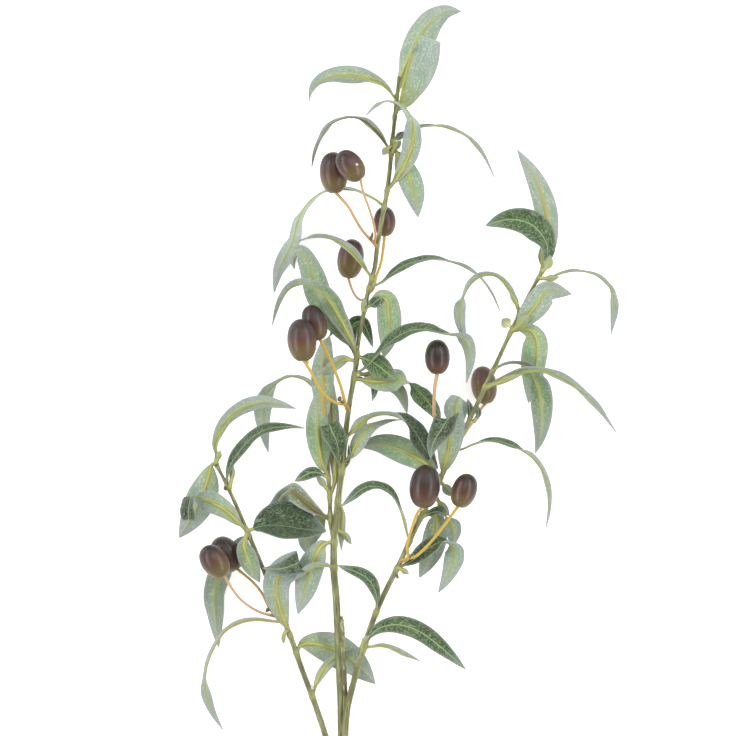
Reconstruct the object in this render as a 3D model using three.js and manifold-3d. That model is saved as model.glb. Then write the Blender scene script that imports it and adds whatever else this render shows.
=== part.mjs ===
// Olive branch with fruit, laid down: a woody trunk that forks into three leafy stems, twelve olives and
// the stalks that carry them. Millimetres, +Z up. The origin is under the middle of the branch, on the
// surface that it lies on. +Y runs along the branch, from its cut end to its tip.
import * as THREE from "three";
import { mergeVertices } from "three/addons/utils/BufferGeometryUtils.js";
import Module from "manifold-3d";

const wasm = await Module();
wasm.setup();

// ---- driving dimensions -------------------------------------------------------------------------
const BRANCH_SHIFT = [-19.4, 57.6, 0]; // from the tables' zero, a point on the middle stem, to the origin
const GAP = 0.3; // air kept between two pieces that meet
const BLADE_THICKNESS = 0.7;
const PETIOLE_THICKNESS = 1.5;
const PETIOLE_WIDTH = 2.4;
const PETIOLE_LENGTH = 4;
const FRAME_STEPS = 40; // steps in which a leaf's turning is followed
const LEAF_RINGS = [0, 2, 6, 11, 16, 21, 26, 31, 36, 40]; // the steps at which a leaf has a section
const STEM_SIDES = 8;
const STEM_STEP = 13; // between two sections of a stem
const STALK_SIDES = 6;
const STALK_STEP = 6;
const STALK_RADIUS = 0.75;
const OLIVE_SIDES = 12;
const OLIVE_BANDS = 8;

// ---- the stems: [x, y, z, radius] down the middle of each ----------------------------------------
const CENTRE_STEM = [
  [-15.5, -331, 3.5, 4.0], [-15.3, -316, 3.5, 4.0], [-15, -300, 7.5, 3.9], [-15, -262, 18, 3.7],
  [-15, -220, 26.5, 3.1], [-15.5, -200, 29.5, 3.0], [-17, -170, 32.5, 2.9], [-19, -140, 34.5, 2.2],
  [-20.5, -120, 35.3, 2.1], [-20, -100, 36, 1.9], [-18, -80, 36, 1.8], [-15.5, -60, 36, 1.7],
  [-13.5, -40, 36, 1.6], [-11, -20, 36, 1.5], [-7.5, 0, 36, 1.4], [-6, 15, 36.5, 1.3],
  [-3, 30, 37, 1.3], [0, 45, 37.5, 1.3], [4, 60, 38, 1.25], [5.5, 72, 38, 1.25],
  [8.5, 90, 38.5, 1.2], [12, 110, 39, 1.2], [15, 140, 40, 1.1], [17, 160, 40.5, 1.0],
  [18.5, 175, 41, 0.8],
];
const REAR_STEM = [
  [-20.5, -104, 35.5, 1.4], [-22.5, -92, 34.5, 1.3], [-23, -78, 34, 1.2], [-24, -60, 34, 1.1],
  [-25, -45, 34.5, 1.0], [-26, -31, 35, 0.8],
];
const LEFT_STEM = [
  [-16.5, -263, 18, 2.0], [-22, -236, 24, 1.9], [-26, -220, 27, 1.8], [-33, -199, 29.5, 1.7],
  [-40, -180, 31, 1.6], [-47, -160, 32, 1.5], [-60, -128, 33, 1.3], [-73, -97, 34, 1.2],
  [-83, -74, 35, 1.1], [-92, -56, 36, 0.9],
];
const RIGHT_STEM = [
  [-14, -224, 27, 2.0], [-12.5, -205, 32.5, 2.0], [-9, -190, 34.5, 1.9], [-4, -172, 36, 1.8],
  [6, -144, 38, 1.6], [19, -117, 39, 1.5], [30, -93, 40, 1.5], [44, -65, 40.5, 1.4],
  [60, -33, 41, 1.3], [72, -8, 41, 1.3], [84, 18, 41, 1.2], [95, 41, 41, 1.1], [105, 59, 41, 0.9],
];

// ---- the leaves: [place, width, fold, midrib points, turns] ----------------------------------------
// The fold is the degrees that each half of a blade lifts from its midrib. A turn of 0 shows the dark upper
// face to +Z, 180 the pale underside, and 90 the blade's edge. The turns are spread evenly from root to tip.
const CENTRE_LEAVES = [
  ["tip, rear", 18, 20, [[17.3, 162.8, 40.6], [20.3, 175, 40], [24.3, 185, 39], [28.8, 194.5, 38],
    [34, 203, 37], [40, 209.6, 36], [47, 214, 35], [56.5, 214.3, 33]], [130, 138, 150, 165, 185, 200]],
  ["tip, front, folded back", 30, 45, [[16.1, 150.9, 40.3], [19.3, 160, 44], [21, 168.5, 47], [23.5, 178, 49],
    [26.2, 188, 50.5], [28.9, 196.3, 50.8], [30.2, 200.3, 49.3], [31, 202, 44.5], [31.2, 202.5, 37]], [130,
    130]],
  ["top left arch", 12.5, 20, [[17.1, 160.7, 40.5], [12, 167, 43], [6, 171, 44], [-3, 174, 44.5],
    [-14, 175.2, 44], [-23, 174.2, 42], [-30, 171, 39], [-33.7, 166, 37], [-35.3, 160, 36]], [105, 115, 130,
    150, 150, 145, 130, 110]],
  ["second left arch", 12, 6, [[14, 129, 39.6], [10, 135.5, 42], [4.8, 142, 44.5], [-1.5, 147.7, 45],
    [-8, 150.3, 45], [-15, 149.7, 44.5], [-22.5, 146, 42.5], [-28.3, 138, 39], [-32, 128.5, 36.5],
    [-33.8, 120.5, 35]], [125, 122, 112, 92, 90, 105, 112, 112]],
  ["high loop to the left", 12.5, 12, [[11.6, 107, 38.9], [16, 112, 42], [20.3, 118.5, 45], [24, 126, 48],
    [26.2, 133, 50], [27.3, 141, 51], [26.6, 148, 51.5], [24, 153.3, 51.5], [20, 157.3, 51], [16, 159.3, 50.5],
    [10, 159.8, 50], [4, 157, 49], [-1.5, 151, 48]], [180, 180, 180, 180, 190, 215, 255, 270, 265, 240, 240]],
  ["hanging under the loop", 14.5, 12, [[14.3, 133, 39.8], [18, 128, 41.5], [22, 120, 42.5], [25.5, 112, 43],
    [28.5, 102, 42.5], [30, 90.5, 41]], [180, 180]],
  ["top right arch", 10, 8, [[14.7, 136.7, 39.9], [23, 142, 42], [32, 144.8, 43], [42, 145.3, 43],
    [52, 142.5, 42], [61, 137.5, 40], [69, 127.5, 38], [76, 114.5, 36]], [-75, -80, -95, -105, -110]],
  ["long left arch down to the surface", 16, 6, [[9.8, 96.9, 38.7], [4, 101.3, 35.5], [-3, 105, 31.5],
    [-10, 107.8, 27.5], [-18, 108.4, 24.5], [-26, 106.2, 23], [-33, 102, 21], [-38.5, 96, 18.5],
    [-42.3, 88, 15.5], [-44.5, 80, 12.5], [-46.8, 73, 10], [-50.4, 66.5, 5.2], [-53.8, 60, 1.5],
    [-55.4, 54, 0.15], [-56.8, 45.5, 1]], [230, 250, 265, 270, 270, 268, 262, 252, 243, 238, 205, 185, 180,
    180]],
  ["arch over an olive", 11, 10, [[2.5, 54, 37.8], [-5, 63.8, 43], [-12, 71.6, 47], [-20, 76.6, 49],
    [-28, 78.4, 48.5], [-36, 77.6, 46], [-43.5, 75, 43.5]], [130, 120, 110, 105, 60]],
  ["broad left, folded back", 16, 12, [[-6.6, 9, 36.3], [-16, 22, 35.5], [-24, 34, 36.5], [-29.5, 44, 38.5],
    [-33, 55, 39.5], [-36.5, 64, 40], [-39.8, 69, 40.3], [-43.5, 69.5, 39.5], [-45.3, 66, 37.5],
    [-44.2, 59.5, 35]], [180, 180, 180, 180, 180, 180, 170]],
  ["left arch over the broad one", 13, 14, [[-6.7, 7.8, 36.2], [-10, 17, 41], [-14, 26, 44],
    [-18.6, 34.3, 46.5], [-23, 41.3, 48.5], [-28, 47, 49.5], [-34, 50.3, 49.5], [-41, 50.8, 48],
    [-47, 48, 45.5], [-51, 42, 42], [-53.8, 36.5, 39.5], [-56, 31.5, 37.5]], [180, 180, 176, 140, 100, 110, 112,
    112]],
  ["right arch, dark", 12, 8, [[0.8, 48.2, 37.6], [9, 52, 42], [15.5, 57.3, 45], [23, 61.8, 47], [31, 64.3, 47],
    [40, 65.3, 46], [50, 63.8, 44], [60, 59.5, 41], [68, 53.5, 38], [74, 45, 35], [79.5, 34, 31]], [-72, -68,
    -60, -57, -66, -80, -88, -92, -94, -96, -98, -100]],
  ["long right arch", 13, 14, [[-8.1, -3.8, 36], [-1, 1, 41], [5, 7.5, 46], [11, 13.5, 50], [18, 18.8, 53],
    [26, 22.3, 55.5], [35, 22.8, 56.5], [43, 21, 56], [50, 19.8, 55], [55, 18.8, 53.5], [59, 15, 51],
    [61, 9, 49], [61, 2, 47.5], [59, -9, 45]], [-78, -76, -74, -66, -58, -52, -56, -68, -82, -95, -150, -178,
    -180, -180]],
  ["hanging right, broad", 15, 10, [[-1.4, 38.1, 37.3], [4, 41, 41], [8.3, 42.3, 43], [11.5, 39.8, 43.7],
    [12.4, 34, 43], [12.7, 25.5, 41], [11.8, 16, 38], [9.3, 6, 35]], [180, 180]],
  ["small dark bract", 7, 12, [[-1.8, 36.2, 37.2], [3, 38.5, 41], [8, 43, 46]], [0, 0]],
  ["folded behind the stem", 8, 6, [[-6.9, 6, 36.2], [-9.8, 14, 32.5], [-10, 21, 31], [-8, 27, 31],
    [-3, 27, 31.5], [0.2, 20.5, 31.5], [2.8, 12.5, 31]], [0, 0]],
  ["short dark, right", 13.5, 12, [[-6.8, 7.2, 36.2], [-1, 5.2, 41], [4.5, 2.5, 41.5], [10, -1.8, 41.5],
    [16.8, -7.2, 41]], [0, 0]],
  ["short grey, left", 8, 10, [[-7, 4.1, 36.1], [-12, 5, 40.5], [-16, 4.2, 41], [-20, 1.8, 41], [-25, -1.2, 41],
    [-30, -2.8, 41]], [160, 150]],
  ["right, turned over", 16, 12, [[-8.6, -6.3, 36], [2, -8, 38], [10, -8, 38.5], [17, -6.5, 39], [24, -8.5, 40],
    [28.5, -12, 41], [33, -16.5, 41], [37, -21.5, 41], [40.5, -27, 40.5], [43, -34, 39.5]], [180, 180, 180, 180,
    150, 95, 60, 35, 15, 0, 0]],
  ["small dark tip", 5, 10, [[-8.3, -4.6, 36], [-1, -8, 33.5], [3.6, -10.8, 33], [3.8, -15, 33],
    [2.5, -19.8, 33]], [0, 0]],
  ["pale tip below", 9, 12, [[-8, -3, 36], [4, -5, 32.5], [12, -8, 30.5], [19, -14, 29.5], [22, -21, 29],
    [23.5, -27.5, 28]], [180, 180]],
  ["right arch to a dark end", 14, 14, [[-13.7, -41.7, 36], [-9, -38, 41], [-5, -34.5, 44], [0, -30.3, 46],
    [6, -28, 47], [13, -27.8, 47.5], [19.5, -30, 47], [25, -34.5, 46.5], [29.5, -40.5, 46], [33.5, -47, 45],
    [37.8, -52, 43.5], [42.6, -56, 42.2]], [-165, -140, -100, -90, -65, -20, 0, 0]],
  ["pale under that arch", 12, 10, [[-15.3, -58.3, 36], [-9.3, -50.5, 38.5], [-5.3, -43, 40], [-1, -37.3, 41],
    [5, -33.2, 41.8], [12, -31.2, 42], [20, -31, 42]], [150, 150, 135, 110, 95]],
  ["dark, folded at its top", 14, 10, [[-15.6, -60.8, 36], [-17.8, -55, 40], [-17.8, -50, 42.5], [-19, -44, 44],
    [-21.5, -38, 44.8], [-23, -34.3, 42.5], [-22.8, -35.5, 36], [-22.3, -37.5, 30]], [65, 62, 40, 5, 0, 0]],
  ["dark sliver", 4.5, 12, [[-15.8, -62.5, 36], [-11, -55, 38], [-11.5, -46, 39]], [-60, -60]],
  ["low left, pale", 16, 12, [[-20.2, -104.2, 35.9], [-27, -106, 40], [-31, -112, 42], [-35, -122, 42],
    [-38, -134, 41], [-42, -147.5, 39]], [180, 180]],
  ["low left, grey, in front", 9, 12, [[-20.5, -119.2, 35.3], [-28, -118.5, 44], [-34, -120, 46.5],
    [-39, -123, 46.5], [-44.5, -127.5, 45.5]], [120, 120]],
  ["lilac sliver", 5, 10, [[-17.9, -79.2, 36], [-15.4, -87, 33], [-15.8, -95, 31], [-16, -103, 30],
    [-16, -109.5, 30]], [160, 160]],
];
const REAR_LEAVES = [
  ["long pale green", 15, 12, [[-23.6, -65.9, 33.9], [-27.2, -58, 36.5], [-28.7, -50, 38], [-29.8, -41, 38.5],
    [-30.5, -32, 38.5], [-30.6, -23, 37.5], [-30, -13, 36.5]], [180, 180]],
  ["tan midrib", 14, 12, [[-25.7, -35.1, 34.9], [-26, -28, 37], [-27, -20, 38], [-27.2, -10, 38.5],
    [-27, 0, 38.5], [-26.5, 9, 38], [-24.5, 17, 37.5], [-20, 24.5, 37]], [180, 180, 180, 180, 150, 30]],
  ["narrow pale", 8, 12, [[-23, -77.3, 34], [-19.8, -68, 33.5], [-19.6, -60, 33], [-20.5, -50, 32.5],
    [-21, -40, 32.5], [-21, -28, 33], [-21.8, -14, 33.5], [-22.5, 0, 33]], [180, 180]],
  ["arch far to the left", 14, 10, [[-25.9, -32.7, 34.9], [-28.3, -24, 33.2], [-31.5, -14, 33], [-35, -9.3, 34],
    [-40, -6, 36], [-46, -4.9, 37], [-51.5, -6.7, 37], [-56.5, -10.6, 35.5], [-60.5, -16.3, 33], [-63, -24, 31],
    [-63.2, -33, 29], [-61.8, -42, 27.5], [-60, -50.5, 26]], [165, 140, 108, 96, 92, 95, 118, 165, 180, 180,
    180]],
  ["olive midrib, folded", 11.5, 12, [[-22.8, -91, 34.5], [-28, -87.5, 37.5], [-33.5, -83.8, 40.5],
    [-38.5, -79.7, 42.5], [-42.7, -76, 43], [-45.8, -74, 41.5], [-48.5, -75, 35.5], [-51.5, -77.5, 30],
    [-55.5, -83, 28.5], [-61, -87.5, 28], [-68, -91.7, 28]], [180, 180]],
  ["small dark", 7.5, 8, [[-23.6, -65.9, 33.9], [-28.5, -63.5, 37], [-33, -62.6, 39], [-38, -64.6, 40],
    [-44, -68, 39]], [20, 20]],
  ["pale behind", 14, 12, [[-22.7, -88.2, 34.3], [-29, -92, 29.5], [-34.5, -98, 27], [-37, -105, 26],
    [-36.5, -112, 26]], [180, 180]],
  ["small pale", 4.5, 8, [[-23.2, -74.5, 34], [-25.8, -71, 35], [-28, -68, 36], [-31, -65.3, 36]], [180, 180]],
];
const LEFT_LEAVES = [
  ["tip arch", 9, 12, [[-91.6, -56.7, 36], [-91, -52, 38.5], [-91.8, -45, 41.5], [-90.3, -38.5, 44],
    [-86.7, -31.8, 46], [-82, -26.8, 47], [-76, -23.2, 48], [-70, -21.3, 48], [-63, -20.5, 47.5],
    [-56, -21.2, 46.5], [-50, -22.4, 45.5], [-43.3, -24.3, 44]], [-130, -130, -142, -160, -180]],
  ["dark arch", 9.5, 12, [[-84.6, -70.7, 35.2], [-84.3, -64, 38.5], [-81.8, -57.3, 41], [-78.8, -52.3, 42.3],
    [-74.8, -47.3, 43], [-70.3, -42.6, 43], [-65.3, -39, 43], [-60, -36.7, 42.3], [-54, -35.6, 41.5],
    [-47, -35.3, 41], [-38, -36.1, 40.5]], [-52, -55]],
  ["tip, hanging", 17, 12, [[-90.5, -58.9, 35.8], [-92, -57.5, 35.3], [-94, -58.5, 34.8], [-95.3, -62.5, 34],
    [-96.5, -68, 33], [-98.3, -74, 32], [-101.3, -81, 30.5], [-105, -88, 29], [-109, -95, 28],
    [-113.5, -102, 27]], [180, 180]],
  ["left, tip turned over", 14, 12, [[-73, -97, 34], [-78, -92.5, 38], [-83, -87.3, 40], [-88.5, -83.3, 42],
    [-94, -80.3, 43], [-99, -78.7, 44], [-103, -77.3, 45], [-105.8, -78, 46.5], [-107, -82, 47],
    [-107.5, -87, 46.5], [-107.5, -90.3, 44], [-107.5, -91, 38], [-107.3, -89.5, 32]], [180, 180, 180, 180, 175,
    120, 60, 10, 0, 0]],
  ["big dark", 28.5, 33, [[-72.5, -98.1, 34], [-65, -95.3, 34.8], [-57, -94.5, 35.2], [-48, -95.3, 35.2],
    [-38, -97, 35.2], [-25, -98, 35.8]], [-32, -32]],
  ["upright, dark tip", 14, 8, [[-47, -160, 32], [-51, -150, 36], [-54.5, -140, 39], [-56.8, -129, 42],
    [-57, -122.5, 44], [-55, -118, 46], [-50.5, -115.5, 46.5], [-46.3, -113.5, 44.5], [-44.5, -112.6, 40],
    [-44.3, -112.5, 34]], [180, 180, 180, 180, 180, 170, 150, 110, 60, 20, 0]],
  ["short hanging", 12, 12, [[-72.5, -98.1, 34], [-74.3, -106, 38], [-72.5, -113, 40], [-69.5, -120, 40],
    [-65, -128.5, 38]], [180, 180]],
  ["hanging down to the surface", 16, 12, [[-71.5, -100.5, 33.9], [-74.5, -103.5, 25], [-78, -108.5, 16.5],
    [-83, -116, 11], [-88.5, -127, 8], [-91.8, -138, 5.2], [-92.2, -150, 1.2], [-90.3, -168.8, 1.5]], [180, 165,
    150, 158, 180, 180]],
  ["long low arch", 10.5, 8, [[-49.8, -152.8, 32.2], [-58, -151.8, 38], [-66, -151, 40], [-74, -152, 39],
    [-82, -155.3, 37], [-88, -160.5, 34], [-93, -169, 31], [-97, -180, 27], [-97.8, -193, 23], [-94, -206, 20],
    [-87.5, -218, 17]], [115, 112, 104, 94, 100, 145, 155]],
  ["broad, behind the stems", 20, 12, [[-43.1, -170.8, 31.5], [-40, -166.5, 28], [-33, -165.8, 26],
    [-22, -168.8, 25], [-12, -174.5, 24], [-4, -181.5, 23], [4.3, -190, 22]], [180, 180]],
  ["narrow, behind the stems", 7, 12, [[-33.6, -197.3, 29.7], [-31, -189, 30.5], [-27.5, -182.5, 29.5],
    [-22, -176, 27.5], [-14, -171, 26.8], [-5, -168.5, 27.5]], [150, 150]],
];
const RIGHT_LEAVES = [
  ["tip, pale", 12.5, 12, [[104.6, 58.3, 41], [107.5, 67, 42], [109, 76, 41.5], [108.5, 86, 40.5],
    [107.3, 95, 39.5], [104.5, 106, 38], [99.5, 117, 37], [90, 131, 35]], [180, 180]],
  ["tip, dark", 17, 12, [[104.6, 58.3, 41], [107.3, 66, 45.5], [107, 73.5, 48.5], [103, 81, 49.5],
    [96.5, 86.5, 49.8], [88.2, 88.8, 49.3], [80, 88.3, 48.3], [70.5, 85.3, 46]], [60, 45, 10, 0, 0]],
  ["tip sheath", 6, 12, [[103.8, 56.8, 41], [105, 65, 43], [104, 73.5, 44]], [180, 180]],
  ["far right arch", 10, 8, [[102.1, 53.9, 41], [108, 53.8, 43], [113, 56, 44.5], [119, 57.8, 45],
    [125, 58.4, 45], [131, 57.8, 44.5], [137, 55.6, 43.5], [142, 51.6, 42], [145.8, 47, 40.5],
    [147.5, 41, 38.5], [147.6, 34, 36.5], [146.8, 27, 34.5], [146, 20.5, 32.5]], [-60, -78, -86, -90, -92, -96,
    -110, -132, -145, -150]],
  ["broad, folded at its top", 15.5, 12, [[85.4, 21.1, 41], [92.3, 27, 45], [97.3, 33.3, 48],
    [101.5, 38.8, 49.5], [105, 43.5, 50], [107.8, 46, 48.5], [111.5, 46.3, 45.5], [116, 45.5, 43],
    [122, 44.3, 41]], [180, 180]],
  ["yellow bract", 7, 12, [[86.8, 24.1, 41], [84, 26, 38.5], [80.5, 29.5, 36.5]], [180, 180]],
  ["left arch, hanging end", 11, 10, [[91, 33, 41], [88, 40, 45], [84.8, 46.5, 49], [80.3, 52.5, 52],
    [75, 55.6, 54], [68, 55, 54], [62, 51, 53], [57.8, 44.5, 51.5], [55.6, 37, 49.5], [55, 29, 48.5],
    [57, 20.5, 47.5], [59.5, 13.5, 46]], [150, 140, 118, 108, 106, 106, 100, 93, 150, 180, 185, 180]],
  ["right arch, yellow rib", 12, 8, [[70.5, -11.1, 41], [78, -7.3, 45], [86, -4.2, 47], [95, -2, 48],
    [105, -2, 48], [113, -4.4, 47], [120, -8.6, 45.8], [128, -14.3, 43.5], [136, -22, 40.5], [149, -38.5, 35]],
    [-115, -116, -108, -104, -104, -108]],
  ["hanging, mid green", 15, 12, [[75, -1.5, 41], [79, 1.3, 42.5], [84, 3, 43], [89, 3.2, 42.5], [94, 1.5, 41],
    [98.5, -3, 39], [102, -11, 37.5], [104, -21, 36], [104.3, -33, 35], [103, -43, 34], [100.5, -51, 33]], [-60,
    -85, -110, -150, -175, -180, -180]],
  ["hanging, light green", 18.5, 25, [[85.9, 22.1, 41], [92.5, 23.3, 41.5], [97.3, 22.3, 41.5], [100.5, 18, 41],
    [101.3, 11, 39.5], [100.8, 3, 37.5], [99.5, -7, 35], [98, -15, 33], [96.5, -21, 31]], [170, 155]],
  ["thin long arch", 10, 12, [[51.4, -50.2, 40.8], [57, -48.2, 43], [63, -45.6, 45], [70, -43.7, 46],
    [77, -44, 46], [84, -45.7, 45.5], [91, -48.5, 44.5], [97.5, -52.8, 43], [102.5, -58.5, 41],
    [106, -65.5, 38.5], [108, -75, 35], [108.5, -85, 32], [107, -96, 29]], [-100, -92, -68, -66, -98, -108,
    -112, -118, -120]],
  ["upright, dark end turned over", 17, 12, [[43.4, -66.2, 40.5], [46.3, -58, 45.5], [48.5, -49, 48.5],
    [49.3, -41, 50.5], [49.3, -35, 51], [49.5, -30.5, 53], [48.8, -31, 57.5], [46.5, -35.5, 59],
    [43.5, -41, 59], [41.3, -46.5, 58.5], [40.8, -53.5, 57.5]], [180, 180]],
  ["pale, behind the stem", 14.5, 10, [[57.5, -38, 40.9], [54, -31, 38.5], [52.7, -25, 37.5],
    [53.8, -19.5, 36.5], [54.8, -17.3, 34.5], [54.5, -19, 31]], [180, 180]],
  ["long pale, to the middle stem", 16, 12, [[43.4, -66.2, 40.5], [38, -60, 38], [31, -55, 36.5],
    [23, -50.5, 35.5], [15, -47.3, 34.5], [7, -45.5, 33.5], [0, -45.8, 33], [-6, -47.5, 32.5]], [180, 180]],
  ["arch to the middle stem", 11, 12, [[24.9, -104.1, 39.6], [22.5, -95, 44], [20, -86, 47], [16, -78, 50],
    [10.5, -72.8, 51], [3, -70.8, 51], [-4, -73, 50], [-10, -77.8, 48.5], [-16, -83, 47]], [100, 95, 88, 80, 65,
    48, 30, 25]],
  ["dark, to the middle stem", 10, 12, [[5, -146.3, 37.9], [5.3, -138.5, 42], [3.5, -132, 45], [0, -126.8, 46],
    [-5, -123.3, 46], [-11, -121, 46], [-18, -118.3, 45]], [60, 50, 45, 35, 35]],
  ["low right, dark", 12, 12, [[-1.9, -165.7, 36.5], [1.5, -160.5, 39], [6, -156.5, 41], [12, -154.3, 42.5],
    [19, -154, 43], [27, -156.3, 43], [35, -160.7, 42.5], [43, -166.8, 42], [51, -173.8, 41],
    [58.5, -180.7, 39]], [-15, -15]],
  ["low right, thin", 7, 12, [[-2.7, -167.9, 36.3], [8, -166.8, 37.5], [16, -169, 38], [23, -172.5, 37],
    [31.5, -176, 36]], [-120, -120]],
  ["pale, long, behind the stalk", 15, 12, [[33.8, -85.2, 40.2], [40.5, -88.5, 36], [41, -97, 34],
    [39, -107, 32], [35.8, -116, 31], [31, -126, 30]], [180, 180]],
  ["dark to pale, behind the stalk", 13, 12, [[31.6, -89.7, 40.1], [38, -87, 42], [43, -86.5, 43],
    [47.5, -90, 42], [50.5, -96, 40], [51, -101, 38.5], [50.5, -107.5, 37]], [0, -60, -150, -180]],
  ["dark, pale end turned down", 14.5, 12, [[17.5, -120.2, 38.9], [26, -116, 40.5], [33, -110.5, 42],
    [40, -106, 43], [45.5, -104.3, 43], [49.5, -106, 42.5], [51.5, -111, 42], [50.5, -118, 40.5],
    [47, -126.5, 39], [42.3, -134.7, 38]], [-50, -50, -50, -55, -90, -150, -180, -180, -180]],
  ["small pale", 6, 12, [[42.8, -67.5, 40.5], [46, -71, 37.5], [50.5, -77, 35.5]], [180, 180]],
];

// ---- the olives: [name, centre, diameter, length, degrees that the top leans to +X] ---------------
const OLIVES = [
  ["olive_01", [-20.5, 117, 41], 17, 25, -4], ["olive_02", [-10.5, 120.8, 55.5], 15.3, 21, -38],
  ["olive_03", [10, 88, 28.5], 13.3, 18, 0], ["olive_04", [-10.5, 65.5, 29], 16, 24, 8],
  ["olive_05", [-39.5, 16.5, 60], 17.5, 25.5, -5], ["olive_06", [-32, 27, 47.5], 14.5, 22, -18],
  ["olive_07", [41.5, 6.5, 48], 15, 21, 0], ["olive_08", [70, -10.5, 7.3], 15.5, 23, -8],
  ["olive_09", [34, -71, 53], 18.5, 26, 6], ["olive_10", [57.5, -73.5, 49], 15, 21, 20],
  ["olive_11", [-92, -116, 43.5], 16, 21.5, -35], ["olive_12", [-85, -112, 27], 17, 23, -35],
];

// ---- the stalks: each olive's own, from its junction with the stem to just short of the fruit ------
const STALKS = [
  ["stalk_pair_top", [
    ["olive_01", [[5.8, 72, 38], [3.5, 75, 39], [-3, 82, 40], [-8, 90, 41], [-12, 97, 41]]],
    ["olive_02", [[5.8, 72, 38], [4, 75, 39], [4.5, 80, 43], [3, 88, 48], [0.5, 96, 52],
      [-2.5, 104, 55]]]]],
  ["stalk_03", [["olive_03", [[0.3, 45.3, 37.2], [3.2, 48, 34.3], [5, 55, 32], [7.5, 62, 30.5], [9, 70, 29.3]]]]],
  ["stalk_04", [["olive_04", [[-0.7, 41.6, 37.5], [-4, 40.8, 35], [-7, 42.7, 32], [-9.5, 47, 30]]]]],
  ["stalk_pair_left", [
    ["olive_05", [[-11.8, -26, 36], [-13.5, -22, 40], [-19, -21, 43.5], [-25, -17, 48], [-30, -10.5, 53.5],
      [-33.7, -3, 58]]],
    ["olive_06", [[-11.8, -26, 36], [-13.5, -22, 40], [-16, -12, 43], [-20, -1, 46.5],
      [-23.5, 7, 47.5]]]]],
  ["stalk_pair_right", [
    ["olive_07", [[50.5, -52, 40.6], [46, -47, 42], [41, -35, 44.5], [39.5, -25, 46.5], [40, -12, 48]]],
    ["olive_08", [[50.5, -52, 40.6], [53, -47.5, 34], [59, -38.5, 21.5], [65.3, -29.7, 11], [68, -25, 8]]]]],
  ["stalk_pair_middle", [
    ["olive_09", [[19.5, -116, 39.2], [24, -114, 44], [23.5, -107, 47.5], [25, -100, 50],
      [29, -88, 52.5]]],
    ["olive_10", [[19.5, -116, 39.2], [24, -114, 44], [29, -112.5, 47], [36, -106, 49], [42, -99, 49.5],
      [48, -91, 49.3]]]]],
  ["stalk_pair_low", [
    ["olive_11", [[-51.3, -150, 32.3], [-58, -148.5, 34.5], [-66, -146, 37], [-75, -140, 40.5],
      [-81, -133, 42.5]]],
    ["olive_12", [[-51.3, -150, 32.3], [-58, -146, 32], [-64, -135, 30], [-70, -128, 28.5]]]]],
];

// ---- building solids ------------------------------------------------------------------------------
const radians = THREE.MathUtils.degToRad;

/** A closed solid from a merged geometry. */
function solidOf(geometry) {
  geometry.deleteAttribute("normal");
  geometry.deleteAttribute("uv");
  const merged = mergeVertices(geometry, 1e-5);
  return new wasm.Manifold(new wasm.Mesh({
    numProp: 3,
    vertProperties: new Float32Array(merged.attributes.position.array),
    triVerts: new Uint32Array(merged.index.array),
  }));
}

/** A solid through sections of equal count. Strips from `under` on are split along their other diagonal. */
function skin(rings, under = Infinity) {
  const sides = rings[0].length;
  const faces = [];
  for (let i = 0; i + 1 < rings.length; i++) {
    for (let j = 0; j < sides; j++) {
      const [a, b] = [i * sides + j, i * sides + ((j + 1) % sides)];
      const [c, d] = [b + sides, a + sides];
      if (j === under || j === under + 1) faces.push(a, b, d, b, c, d);
      else faces.push(a, b, c, a, c, d);
    }
  }
  const last = (rings.length - 1) * sides;
  for (let j = 1; j + 1 < sides; j++) {
    faces.push(0, j + 1, j);
    faces.push(last, last + j, last + j + 1);
  }
  const geometry = new THREE.BufferGeometry().setFromPoints(rings.flat());
  geometry.setIndex(faces);
  return solidOf(geometry);
}

const curveThrough = (points) => new THREE.CatmullRomCurve3(
  points.map(([x, y, z]) => new THREE.Vector3(x, y, z)), false, "catmullrom", 0.5);

/** The value at share t of a list whose values are spread evenly, eased from each to the next. */
function spread(values, t) {
  const place = t * (values.length - 1);
  const i = Math.min(Math.floor(place), values.length - 2);
  const eased = THREE.MathUtils.smoothstep(place - i, 0, 1);
  return values[i] + (values[i + 1] - values[i]) * eased;
}

/** A stem: a round tube through [x, y, z, radius] points. */
function stem(points, extra = 0) {
  const curve = curveThrough(points);
  const steps = Math.ceil(curve.getLength() / STEM_STEP);
  const rings = [];
  for (let i = 0; i <= steps; i++) {
    const u = curve.getUtoTmapping(i / steps);
    const at = curve.getPoint(u);
    const along = curve.getTangent(u);
    const place = u * (points.length - 1);
    const k = Math.min(Math.floor(place), points.length - 2);
    const radius = THREE.MathUtils.lerp(points[k][3], points[k + 1][3], place - k) + extra;
    rings.push(circle(at, along, radius, STEM_SIDES));
  }
  return skin(rings);
}

/** Points round a centre, in a plane across `along`, starting on its upper side. */
function circle(at, along, radius, sides) {
  const up = new THREE.Vector3(0, 0, 1).addScaledVector(along, -along.z).normalize();
  const side = new THREE.Vector3().crossVectors(along, up);
  return Array.from({ length: sides }, (_, j) => {
    const angle = (2 * Math.PI * (j + 0.5)) / sides;
    return at.clone().addScaledVector(up, radius * Math.cos(angle))
      .addScaledVector(side, radius * Math.sin(angle));
  });
}

/** Half the width of a leaf at share t of its length: a petiole, then a lance-shaped blade. */
function halfWidth(t, width, length) {
  const root = Math.min(PETIOLE_LENGTH / length, 0.3);
  const u = Math.max(0, (t - root) / (1 - root));
  const blade = (width / 2) * Math.sin(Math.PI * u ** 0.9) ** 0.8;
  return Math.max(blade, u < 0.5 ? PETIOLE_WIDTH / 2 : 0.38);
}

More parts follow.
